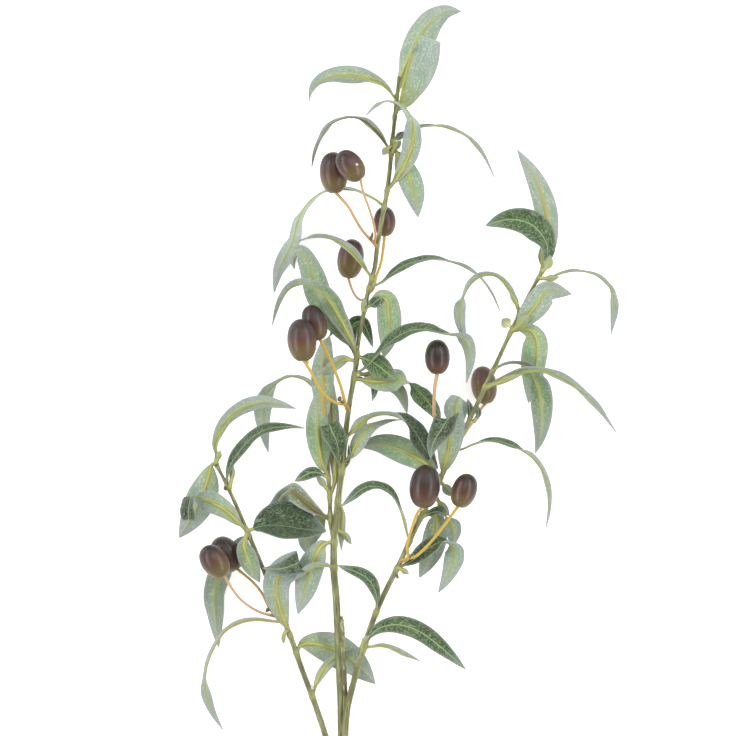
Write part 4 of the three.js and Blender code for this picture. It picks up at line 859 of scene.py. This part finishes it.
def stem_plastic():
    """Satin olive green in long streaks, brown where it is aged, pale at the knots and in a few flecks."""
    material, tree = new_material("dipped PVC stem", {"Roughness": 0.5, "IOR": 1.53})
    skin, look = stored_vectors(tree, "skin", "look")
    knot, brown, flecks = add(tree, "SeparateXYZ", {0: look}).node.outputs
    drawn = add(tree, "VectorMath", {0: skin, 1: ALONG_STRETCH}, operation="MULTIPLY")
    streaks = add(tree, "TexNoise", {"Vector": drawn, "Scale": STEM_STREAKS, "Detail": 4.0})
    light = add(tree, "MapRange", {0: streaks, 1: 0.45, 2: 0.68})
    face = add(tree, "Mix", {0: light, 6: colour("737748"), 7: colour("a3a575")}, **PAINT)
    dark = add(tree, "MapRange", {0: streaks, 1: 0.42, 2: 0.3})
    aged = patches(tree, skin, AGED_PATCHES, 2.0, 0.45, 0.62)
    aged = add(tree, "Math", {0: aged, 1: brown}, operation="MULTIPLY")
    cells = add(tree, "TexVoronoi", {"Vector": drawn, "Scale": FLECKS})
    spots = add(tree, "MapRange", {0: cells, 1: 0.16, 2: 0.26, 3: 1.0, 4: 0.0})
    spots = add(tree, "Math", {0: spots, 1: flecks}, operation="MULTIPLY")
    for cover, code in ((dark, "56563a"), (aged, "675f41"), (knot, "a3a565"), (spots, "dcdfc6")):
        face = add(tree, "Mix", {0: cover, 6: face, 7: colour(code)}, **PAINT)
    furrows = add(tree, "Bump", {"Strength": 0.6, "Distance": 0.25 * MM, "Height": streaks})
    wire(tree, {"Base Color": face, "Normal": furrows})
    return material


STEM_MATERIAL = stem_plastic()


# %% Roll a tube and lay it on a route
MERGE_GAP = 0.02 * MM
TUBE_SMOOTH_ANGLE = math.radians(55)


def rolled_tube(name, points, radii, sides, row_gap, relief=None):
    """A closed tube along a route, and how far along it each vertex lies, in mm.

    `relief` gives the height of the skin in mm, for an angle, a place along the tube and a radius.
    """
    line, shares, length = smooth_line(points)
    bpy.ops.object.select_all(action="DESELECT")
    bpy.ops.mesh.primitive_grid_add(x_subdivisions=sides, y_subdivisions=math.ceil(length / row_gap), size=2)
    tube = bpy.context.object
    tube.name = name
    co = np.empty(len(tube.data.vertices) * 3)
    tube.data.vertices.foreach_get("co", co)
    column, row, _ = co.reshape(-1, 3).T
    share, angle = (row + 1) / 2, np.pi * column
    radius = np.interp(share, shares[::POINTS_PER_SPAN], radii)
    store(tube.data, "skin", (np.cos(angle) * radius, np.sin(angle) * radius, share * length))
    if relief is not None:
        radius = radius + relief(angle, share * length, radius)
    along = tangents(line, shares, share)
    up = unit(np.array([0, 0, 1.0]) - along * along[:, 2:3])
    ring = up * np.cos(angle)[:, None] + np.cross(along, up) * np.sin(angle)[:, None]
    place = read_at(line, shares, share) + ring * radius[:, None]
    place[:, 2] = np.maximum(place[:, 2], 0.0)
    tube.data.vertices.foreach_set("co", placed(place).ravel())
    close_tube(tube)
    return tube, place_along(tube.data)


def close_tube(tube):
    """Merges the tube's seam, caps its ends and smooths it."""
    select_only(tube)
    bpy.ops.object.mode_set(mode="EDIT")
    bpy.ops.mesh.select_all(action="SELECT")
    bpy.ops.mesh.remove_doubles(threshold=MERGE_GAP)
    bpy.ops.mesh.fill_holes(sides=0)
    bpy.ops.mesh.normals_make_consistent(inside=False)
    bpy.ops.object.mode_set(mode="OBJECT")
    bpy.ops.object.shade_smooth_by_angle(angle=TUBE_SMOOTH_ANGLE)


def place_along(mesh):
    """How far along its tube each vertex lies, in mm."""
    skin = np.empty(len(mesh.vertices) * 3, np.float32)
    mesh.attributes["skin"].data.foreach_get("vector", skin)
    return skin.reshape(-1, 3)[:, 2]


# %% [markdown]
# A stem's table gives the points down its middle, with the stem's radius at each. The trunk is two strands,
# side by side: the middle stem, and a second one that ends where the right stem has left.

# %% Stem tables
CENTRE_STEM = [
    (-15.5, -331, 3.5, 4.0), (-15.3, -316, 3.5, 4.0), (-15, -300, 7.5, 3.9), (-15.2, -262, 18, 3.3),
    (-15.9, -220, 26.5, 2.3), (-16.3, -200, 29.5, 2.25), (-17.8, -170, 32.5, 2.15), (-19.1, -140, 34.5, 2.1),
    (-20.5, -120, 35.3, 2.1), (-20, -100, 36, 1.9), (-18, -80, 36, 1.8), (-15.5, -60, 36, 1.7),
    (-13.5, -40, 36, 1.6), (-11, -20, 36, 1.5), (-7.5, 0, 36, 1.4), (-6, 15, 36.5, 1.3), (-3, 30, 37, 1.3),
    (0, 45, 37.5, 1.3), (4, 60, 38, 1.35), (5.5, 72, 38, 1.35), (8.5, 90, 38.5, 1.35), (12, 110, 39, 1.35),
    (15, 140, 40, 1.2), (17, 160, 40.5, 1.0), (18.5, 175, 41, 0.8),
]
SECOND_STRAND = [
    (-14.2, -270, 16.5, 1.9), (-13.7, -245, 22.3, 1.8), (-13.4, -220, 27.2, 1.7), (-13.7, -200, 30.4, 1.65),
    (-15, -172, 33.5, 1.65), (-15.5, -160, 34.3, 1.7), (-15.9, -152, 34.6, 1.5), (-16.2, -149, 34.5, 0.9),
]
REAR_STEM = [
    (-20.5, -104, 35.5, 1.4), (-22.5, -92, 34.5, 1.3), (-23, -78, 34, 1.2), (-24, -60, 34, 1.1),
    (-25, -45, 34.5, 1.0), (-26, -31, 35, 0.8),
]
LEFT_STEM = [
    (-16.5, -263, 18, 2.0), (-22, -236, 24, 1.9), (-26, -220, 27, 1.8), (-33, -199, 29.5, 1.7),
    (-40, -180, 31, 1.6), (-47, -160, 32, 1.5), (-60, -128, 33, 1.3), (-73, -97, 34, 1.2),
    (-83, -74, 35, 1.1), (-92, -56, 36, 0.9),
]
RIGHT_STEM = [
    (-14, -224, 27, 2.0), (-12.5, -205, 32.5, 2.0), (-9, -190, 34.5, 1.9), (-4, -172, 36, 1.8),
    (6, -144, 38, 1.6), (19, -117, 39, 1.5), (30, -93, 40, 1.5), (44, -65, 40.5, 1.4), (60, -33, 41, 1.3),
    (72, -8, 41, 1.3), (84, 18, 41, 1.2), (95, 41, 41, 1.1), (105, 59, 41, 0.9),
]

# %% Grow the stems
STEM_SIDES = 20
STEM_ROW_GAP = 0.9
KNOT_REACH = 2.6  # millimetres that a swelling spreads back along the stem
KNOT_AHEAD = 0.55  # of that reach, which it spreads on
KNOT_HEIGHT = 0.5
KNOT_PALENESS = 0.7
LEAF_REACH = 4.5  # millimetres from a stem's middle within which a leaf's root is the stem's own
FURROWS = [(3, 0.045, 0.045), (7, 0.03, -0.09)]  # how many round it, their share of its radius, twist a mm
LUMPS = 0.07  # of the radius
LUMP_RATE, LUMP_RATE_ALONG = 1.2, 0.35


def knots_on(points, rows):
    """How far along a stem each leaf leaves it."""
    line, shares, length = smooth_line(points)
    places = []
    for _, _, _, midrib, *_ in rows:
        gaps = np.linalg.norm(line - np.array(midrib[0], float), axis=1)
        if gaps.min() < LEAF_REACH:
            places.append(shares[gaps.argmin()] * length)
    return np.array(places)


def grow_stem(name, node, rows, leaves, brown, flecks=0.0):
    points, radii = [row[:3] for row in rows], [row[3] for row in rows]
    knots = knots_on(points, leaves)

    def swelling(place):
        if not len(knots):
            return np.zeros_like(place)
        gap = place[:, None] - knots[None, :]
        reach = np.where(gap > 0, KNOT_REACH * KNOT_AHEAD, KNOT_REACH)
        return np.exp(-((gap / reach) ** 2)).max(axis=1)

    def relief(angle, place, radius):
        furrows = sum(depth * np.cos(count * angle + twist * place) for count, depth, twist in FURROWS)
        corners = np.stack([np.cos(angle) * LUMP_RATE, np.sin(angle) * LUMP_RATE, place * LUMP_RATE_ALONG], 1)
        lumps = np.array([noise.noise(Vector(corner)) for corner in corners])
        return radius * (furrows + LUMPS * lumps) + KNOT_HEIGHT * swelling(place)

    stem, place = rolled_tube(name, points, radii, STEM_SIDES, STEM_ROW_GAP, relief)
    stem.data.materials.append(STEM_MATERIAL)
    store(stem.data, "look", (KNOT_PALENESS * swelling(place), brown, flecks))
    set_on(stem, node)
    print(name, "knots:", len(knots), "vertices:", len(stem.data.vertices))


grow_stem("centre_stem", "centre_leafy_stem", CENTRE_STEM, CENTRE_LEAVES, brown=0.35)
grow_stem("second_strand", "centre_leafy_stem", SECOND_STRAND, [], brown=1.0, flecks=0.8)
grow_stem("rear_stem", "centre_leafy_stem", REAR_STEM, REAR_LEAVES, brown=1.0)
grow_stem("left_stem", "left_leafy_stem", LEFT_STEM, LEFT_LEAVES, brown=0.7)
grow_stem("right_stem", "right_leafy_stem", RIGHT_STEM, RIGHT_LEAVES, brown=0.6)

# %% [markdown]
# ## The olives
# An olive is injection-moulded and sprayed: dark purple brown at its free end, redder below, and olive
# brown where it meets the stalk. It starts as a sphere. The stalk end is inset into a small flat collar,
# and the free end has a slight nib.

# %% Olive material
CLOUDS = 0.14  # in a millimetre, so about three on an olive
RUN_AND_HIGHLIGHT_STREAKS = 0.55  # in a millimetre of the olive's width
ORANGE_PEEL = 0.9  # in a millimetre. A real sprayed skin's is finer, and wouldn't show


def olive_skin():
    """A satin sprayed skin with soft clouds, long lighter streaks that are partly spray marks and partly
    painted highlight, and a faint orange peel.
    """
    material, tree = new_material("sprayed polystyrene olive", {"IOR": 1.5})
    fruit, skin = stored_vectors(tree, "fruit", "skin")
    height, green, _ = add(tree, "SeparateXYZ", {0: fruit}).node.outputs
    clouds = add(tree, "TexNoise", {"Vector": skin, "Scale": CLOUDS, "Detail": 3.0})
    sway = add(tree, "Math", {0: clouds, 1: 0.35, 2: height}, operation="MULTIPLY_ADD")
    level = add(tree, "Math", {0: sway, 1: green}, operation="SUBTRACT")
    low = add(tree, "MapRange", {0: level, 1: 0.0, 2: 0.45}, **SOFT)
    high = add(tree, "MapRange", {0: level, 1: 0.3, 2: 0.75}, **SOFT)
    face = add(tree, "Mix", {0: low, 6: colour("6d5c33"), 7: colour("56352e")}, **PAINT)
    drawn = add(tree, "VectorMath", {0: skin, 1: ALONG_STRETCH}, operation="MULTIPLY")
    # Lighter streaks along the olive: partly spray marks, partly painted highlight streaks of the long lamps
    run_and_highlight_streaks = patches(tree, drawn, RUN_AND_HIGHLIGHT_STREAKS, 2.0, 0.42, 0.7, 0.0, 0.45)
    for cover, code in ((high, "2b2322"), (run_and_highlight_streaks, "5d453c")):
        face = add(tree, "Mix", {0: cover, 6: face, 7: colour(code)}, **PAINT)
    grain = add(tree, "TexNoise", {"Vector": skin, "Scale": ORANGE_PEEL, "Detail": 2.0})
    peel = add(tree, "Bump", {"Strength": 0.2, "Distance": 0.08 * MM, "Height": grain})
    rough = add(tree, "MapRange", {0: clouds, 1: 0.3, 2: 0.7, 3: 0.28, 4: 0.4})
    wire(tree, {"Base Color": face, "Normal": peel, "Roughness": rough})
    return material


OLIVE_MATERIAL = olive_skin()

# %% [markdown]
# The table gives an olive's name, centre, diameter, length, how many degrees its top leans to +X, and how
# much of it is olive brown.

# %% Grow the olives
OLIVES = [
    ("olive_01", (-20.5, 117, 41), 17, 25, -4, 0.34), ("olive_02", (-10.5, 120.8, 55.5), 15.3, 21, -38, 0.35),
    ("olive_03", (10, 88, 28.5), 13.3, 18, 0, 0.25), ("olive_04", (-10.5, 65.5, 29), 16, 24, 8, 0.45),
    ("olive_05", (-39.5, 16.5, 60), 17.5, 25.5, -5, 0.34), ("olive_06", (-32, 27, 47.5), 14.5, 22, -18, 0.22),
    ("olive_07", (41.5, 6.5, 48), 15, 21, 0, 0.0), ("olive_08", (70, -10.5, 7.3), 15.5, 23, -8, 0.62),
    ("olive_09", (34, -71, 53), 18.5, 26, 6, 0.08), ("olive_10", (57.5, -73.5, 49), 15, 21, 20, 0.3),
    ("olive_11", (-92, -116, 43.5), 16, 21.5, -35, 0.35), ("olive_12", (-85, -112, 27), 17, 23, -35, 0.05),
]
OLIVE_SEGMENTS = 32
OLIVE_RINGS = 24
COLLAR_SHARE = 0.24  # of the olive's radius
COLLAR_STEPS = [(0.045, 0.05), (0.05, 0.04)]  # how far each is inset and then pressed in, in radii
BLUNTNESS = 0.86  # 1 is an ellipsoid, and less is fuller towards the ends
NIB_HEIGHT, NIB_REACH = 0.012, 0.006
OLIVE_GAP = 40.0  # millimetres between two olives in the pattern
OLIVE_SMOOTH_ANGLE = math.radians(40)


def collared_sphere(name):
    """A unit sphere whose lowest faces are a small collar, pressed in."""
    bpy.ops.object.select_all(action="DESELECT")
    bpy.ops.mesh.primitive_uv_sphere_add(segments=OLIVE_SEGMENTS, ring_count=OLIVE_RINGS, radius=1)
    sphere = bpy.context.object
    sphere.name = name
    bpy.ops.object.mode_set(mode="EDIT")
    bpy.ops.mesh.select_mode(type="FACE")
    bpy.ops.mesh.select_all(action="DESELECT")
    bpy.ops.object.mode_set(mode="OBJECT")
    for face in sphere.data.polygons:
        face.select = face.center.z < -math.cos(math.asin(COLLAR_SHARE))
    bpy.ops.object.mode_set(mode="EDIT")
    for inset, rise in COLLAR_STEPS:
        bpy.ops.mesh.inset(thickness=inset)
        bpy.ops.transform.translate(value=(0, 0, rise))
    bpy.ops.object.mode_set(mode="OBJECT")
    return sphere


def grow_olive(name, centre, diameter, length, lean, green, number):
    """A sphere drawn out to an olive, leaned over and moved to its place."""
    olive = collared_sphere(f"{name}_skin")
    mesh = olive.data
    co = np.array([vertex.co for vertex in mesh.vertices])
    height = (co[:, 2] + 1) / 2
    round_share = np.sqrt(np.clip(1 - co[:, 2] ** 2, 1e-4, 1))
    x, y = co[:, :2].T * round_share ** (BLUNTNESS - 1) * diameter / 2
    nib = NIB_HEIGHT * np.exp(-((1 - height) / NIB_REACH))
    lying = np.stack([x, (co[:, 2] + nib) * length / 2, -y], axis=1)
    place = leaned(lying, lean) + np.array(centre)
    place[:, 2] = np.maximum(place[:, 2], 0.0)
    mesh.vertices.foreach_set("co", placed(place).ravel())
    store(mesh, "fruit", (height, green, 0))
    store(mesh, "skin", np.stack([x, y, height * length]) + number * OLIVE_GAP)
    mesh.materials.append(OLIVE_MATERIAL)
    bpy.ops.object.shade_smooth_by_angle(angle=OLIVE_SMOOTH_ANGLE)
    set_on(olive, name)


for number, row in enumerate(OLIVES):
    grow_olive(*row, number)
print("olives:", len(OLIVES))

# %% [markdown]
# ## The stalks
# Each olive stands on its own stalk, a thin rod of orange plastic that turns yellow towards some olives.
# Two stalks often leave the stem together, where a small bud stands between them.

# %% Stalk material
DYE_CLOUDS = 0.25  # in a millimetre, so one every 4


def stalk_plastic():
    """Slightly see-through orange or yellow plastic, redder by its root."""
    settings = {"Roughness": 0.4, "IOR": 1.53, "Subsurface Weight": 0.2, "Subsurface Scale": 1.0,
                "Subsurface Radius": (1.2 * MM, 0.7 * MM, 0.3 * MM)}
    material, tree = new_material("extruded PVC stalk", settings)
    skin, look = stored_vectors(tree, "skin", "look")
    share, yellow, _ = add(tree, "SeparateXYZ", {0: look}).node.outputs
    clouds = add(tree, "TexNoise", {"Vector": skin, "Scale": DYE_CLOUDS, "Detail": 2.0})
    sway = add(tree, "Math", {0: clouds, 1: 0.5, 2: -0.25}, operation="MULTIPLY_ADD")
    ripe = add(tree, "Math", {0: yellow, 1: sway}, operation="ADD", use_clamp=True)
    face = add(tree, "Mix", {0: ripe, 6: colour("cba27c"), 7: colour("cbae44")}, **PAINT)
    root = add(tree, "MapRange", {0: share, 1: 0.0, 2: 0.25, 3: 0.55, 4: 0.0})
    face = add(tree, "Mix", {0: root, 6: face, 7: colour("b98050")}, **PAINT)
    wire(tree, {"Base Color": face})
    return material


STALK_MATERIAL = stalk_plastic()

# %% [markdown]
# The table gives each stalk's node, its olive, how yellow it is, its radius, and its route up to the olive.
# The two stalks of a pair start at one point.

# %% Grow the stalks
STALKS = [
    ("stalk_pair_top", "olive_01", 0.3, 0.85, [(5.8, 72, 38), (3.5, 75, 39), (-3, 82, 40), (-8, 90, 41),
        (-12, 97, 41)]),
    ("stalk_pair_top", "olive_02", 0.1, 0.75, [(5.8, 72, 38), (4, 75, 39), (4.5, 80, 43), (3, 88, 48),
        (0.5, 96, 52), (-2.5, 104, 55)]),
    ("stalk_03", "olive_03", 0.85, 0.85, [(0.3, 45.3, 37.2), (3.2, 48, 34.3), (5, 55, 32), (7.5, 62, 30.5),
        (9, 70, 29.3)]),
    ("stalk_04", "olive_04", 0.1, 0.75, [(-0.7, 41.6, 37.5), (-4, 40.8, 35), (-7, 42.7, 32), (-9.5, 47, 30)]),
    ("stalk_pair_left", "olive_05", 0.85, 0.95, [(-11.8, -26, 36), (-13.5, -22, 40), (-19, -21, 43.5),
        (-25, -17, 48), (-30, -10.5, 53.5), (-33.7, -3, 58)]),
    ("stalk_pair_left", "olive_06", 0.95, 0.9, [(-11.8, -26, 36), (-13.5, -22, 40), (-16, -12, 43),
        (-20, -1, 46.5), (-23.5, 7, 47.5)]),
    ("stalk_pair_right", "olive_07", 0.0, 1.1, [(50.5, -52, 40.6), (46, -47, 42), (41, -35, 44.5),
        (39.5, -25, 46.5), (40, -12, 48)]),
    ("stalk_pair_right", "olive_08", 0.0, 0.85, [(50.5, -52, 40.6), (53, -47.5, 34), (59, -38.5, 21.5),
        (65.3, -29.7, 11), (68, -25, 8)]),
    ("stalk_pair_middle", "olive_09", 0.75, 0.9, [(19.5, -116, 39.2), (24, -114, 44), (23.5, -107, 47.5),
        (25, -100, 50), (29, -88, 52.5)]),
    ("stalk_pair_middle", "olive_10", 0.95, 0.9, [(19.5, -116, 39.2), (24, -114, 44), (29, -112.5, 47),
        (36, -106, 49), (42, -99, 49.5), (48, -91, 49.3)]),
    ("stalk_pair_low", "olive_11", 0.0, 0.8, [(-51.3, -150, 32.3), (-58, -148.5, 34.5), (-66, -146, 37),
        (-75, -140, 40.5), (-81, -133, 42.5)]),
    ("stalk_pair_low", "olive_12", 0.7, 0.85, [(-51.3, -150, 32.3), (-58, -146, 32), (-64, -135, 30),
        (-70, -128, 28.5)]),
]
STALK_SIDES = 14
STALK_ROW_GAP = 1.2
STALK_SINK = 1.0  # millimetres that a stalk's end stands inside the olive
ROOT_SWELL, END_SWELL = 1.5, 1.15
FRUIT = {row[0]: row for row in OLIVES}


def stalk_end(fruit):
    """Where a stalk ends, just inside its olive's collar."""
    _, centre, _, length, lean, _ = fruit
    return leaned((0, STALK_SINK - length / 2, 0), lean) + np.array(centre)


def grow_stalk(node, fruit_name, yellow, radius, route):
    points = [*route, stalk_end(FRUIT[fruit_name])]
    swells = [ROOT_SWELL, END_SWELL, *[1] * (len(points) - 3), END_SWELL]
    radii = [radius * swell for swell in swells]
    stalk, place = rolled_tube(f"stalk_of_{fruit_name}", points, radii, STALK_SIDES, STALK_ROW_GAP)
    stalk.data.materials.append(STALK_MATERIAL)
    store(stalk.data, "look", (place / place.max(), yellow, 0))
    set_on(stalk, node)


for row in STALKS:
    grow_stalk(*row)
print("stalks:", len(STALKS))

# %% [markdown]
# ## Buds and glue
# Brown buds, moulded like the spines, hide the joints. Here and there a drop of hot-melt glue has set: it
# is whitish and shines. Both start as a sphere, which is squeezed by noise and drawn out.

# %% Bud and glue materials
BUD_SPOTS = 0.9  # in a millimetre


def bud_plastic():
    """Matt brown green plastic with paler spots."""
    material, tree = new_material("moulded polyethylene bud", {"Roughness": 0.55, "IOR": 1.51})
    (skin,) = stored_vectors(tree, "skin")
    spots = patches(tree, skin, BUD_SPOTS, 3.0, 0.4, 0.65)
    face = add(tree, "Mix", {0: spots, 6: colour("5f5a38"), 7: colour("8d8a56")}, **PAINT)
    wire(tree, {"Base Color": face})
    return material


def set_glue():
    """Cloudy and smooth, so that it glows a little and has a sharp highlight."""
    settings = {"Base Color": colour("d3cbb4"), "Roughness": 0.25, "IOR": 1.48, "Subsurface Weight": 0.5,
                "Subsurface Radius": (1.0 * MM, 0.9 * MM, 0.7 * MM), "Subsurface Scale": 1.0}
    material, _ = new_material("set hot-melt glue", settings)
    return material


BUD, GLUE = bud_plastic(), set_glue()
print("materials:", BUD.name, "and", GLUE.name)

# %% [markdown]
# The table gives the node that a drop sits on, its material, its centre, its three radii, and how many
# degrees its top leans to +X.

# %% Set the buds and the glue
DROPS = [
    ("stalk_pair_top", BUD, (2.2, 78.8, 40.5), (0.9, 2.4, 0.9), 12),
    ("stalk_pair_left", BUD, (-17, -18.6, 42), (1.3, 1.7, 1.2), 0),
    ("stalk_pair_left", BUD, (-15.4, -20.6, 42.5), (1.1, 1.4, 1.1), 40),
    ("stalk_pair_middle", BUD, (26, -112.6, 45.5), (1.1, 1.9, 1.1), 20),
    ("stalk_pair_low", BUD, (-60, -145, 34), (1.2, 1.9, 1.2), 50),
    ("left_leafy_stem", BUD, (-91.2, -57.4, 36.6), (1.5, 2.2, 1.3), -25),
    ("left_leafy_stem", BUD, (-85.5, -72, 36.2), (1.2, 1.6, 1.2), -20),
    ("right_leafy_stem", BUD, (17.2, -124.6, 39.6), (1.0, 2.0, 1.0), -30),
    ("left_leafy_stem", GLUE, (-33.5, -192, 31.6), (0.9, 1.4, 0.8), -15),
    ("centre_leafy_stem", GLUE, (17.4, 136, 46), (0.9, 0.8, 0.6), 0),
    ("olive_02", GLUE, (-6.6, 121.5, 62.5), (1.0, 0.8, 0.4), 20),
    ("stalk_pair_left", GLUE, (-36.4, 3.6, 58.8), (1.1, 1.7, 1.1), -10),
    ("stalk_pair_middle", GLUE, (32.6, -84, 53.2), (1.0, 1.1, 0.9), 6),
    ("centre_leafy_stem", GLUE, (-6.6, 12.6, 37.9), (0.5, 0.9, 0.4), 0),
    ("centre_leafy_stem", GLUE, (-6, -3.8, 37.6), (1.0, 1.4, 0.8), 0),
]
DROP_SEGMENTS = 18
DROP_RINGS = 12
DROP_LUMPS, DROP_LUMP_RATE = 0.22, 1.3


def grow_drop(name, node, material, centre, radii, lean):
    """A sphere, squeezed by noise, drawn out to its three radii and leaned over."""
    bpy.ops.object.select_all(action="DESELECT")
    bpy.ops.mesh.primitive_uv_sphere_add(segments=DROP_SEGMENTS, ring_count=DROP_RINGS, radius=1)
    drop = bpy.context.object
    drop.name = name
    co = np.array([vertex.co for vertex in drop.data.vertices])
    lumps = np.array([noise.noise(Vector(c * DROP_LUMP_RATE + np.array(centre))) for c in co])
    co = co * (1 + DROP_LUMPS * lumps[:, None]) * np.array(radii)
    place = leaned(co, lean) + np.array(centre)
    drop.data.vertices.foreach_set("co", placed(place).ravel())
    store(drop.data, "skin", place.T)
    drop.data.materials.append(material)
    bpy.ops.object.shade_smooth()
    set_on(drop, node)


for i, row in enumerate(DROPS, 1):
    grow_drop(f"drop_{i:02d}", *row)
print("buds and drops of glue:", len(DROPS))

# %% [markdown]
# ## The table, the lamps and the camera
# The branch lies on a plain white table under two long soft lamps and a bright white room, so its shadows
# are faint. The laminate is matt and glows slightly, as paper does in a light tent. The camera looks
# straight down through a long lens, which keeps far and near parts in scale.

# %% Table
TABLE_SIZE = 40.0  # metres, so that its edge is never seen
bpy.ops.object.select_all(action="DESELECT")
bpy.ops.mesh.primitive_plane_add(size=TABLE_SIZE)
table = bpy.context.object
table.name = "white_table"
laminate = {"Roughness": 0.6, "IOR": 1.5, "Base Color": colour("f4f4f4"), "Specular IOR Level": 0.2,
            "Emission Color": colour("ffffff"), "Emission Strength": 0.5}
table.data.materials.append(new_material("white laminate", laminate)[0])
print("table:", TABLE_SIZE, "m wide")

# %% Lamps and room
LAMP_AIM = placed((0, 0, 36))
LAMPS = [  # name, metres from where they aim, length and width in metres, watts
    ("left_lamp", (-1.15, 0.1, 0.9), (2.6, 0.34), 15),
    ("right_lamp", (1.0, 0.1, 0.95), (2.6, 0.3), 13),
    ("top_lamp", (0.2, 0.9, 1.8), (1.2, 1.2), 8),
]


def soft_lamp(name, offset, size, power):
    """A rectangular lamp that faces LAMP_AIM."""
    data = bpy.data.lights.new(name, "AREA")
    data.shape = "RECTANGLE"
    data.size, data.size_y = size
    data.energy = power
    lamp = bpy.data.objects.new(name, data)
    lamp.location = LAMP_AIM + np.array(offset)
    lamp.rotation_euler = (Vector(LAMP_AIM) - lamp.location).to_track_quat("-Z", "Y").to_euler()
    bpy.context.collection.objects.link(lamp)


for lamp in LAMPS:
    soft_lamp(*lamp)

world = bpy.data.worlds.new("white room")
bpy.context.scene.world = world
world.use_nodes = True
room = world.node_tree
above = add(room, "SeparateXYZ", {0: add(room, "TexCoord", {})}).node.outputs[2]
wall = add(room, "MapRange", {0: above, 1: 0.35, 2: 0.95, 3: 0.85, 4: 0.22})  # bright walls, a dim ceiling
room.links.new(wall, room.nodes["Background"].inputs["Strength"])
room.nodes["Background"].inputs["Color"].default_value = colour("ffffff")
print("lamps:", len(LAMPS))

# %% Camera
PICTURE_WIDTH = 441.6  # millimetres that the picture shows at MIDDLE_HEIGHT
MIDDLE_HEIGHT = 38
LENS, SENSOR = 400.0, 36.0
CLIP_END = 60
bpy.ops.object.camera_add()
camera = bpy.context.object
camera.name = "camera"
camera.data.lens, camera.data.sensor_width = LENS, SENSOR
distance = PICTURE_WIDTH * LENS / SENSOR
camera.location = placed((0, 0, MIDDLE_HEIGHT + distance))
camera.rotation_euler = (0, 0, 0)
camera.data.clip_end = CLIP_END
bpy.context.scene.camera = camera
bpy.context.scene.view_settings.view_transform = "Standard"
print("camera:", round(distance), "mm above the branch")
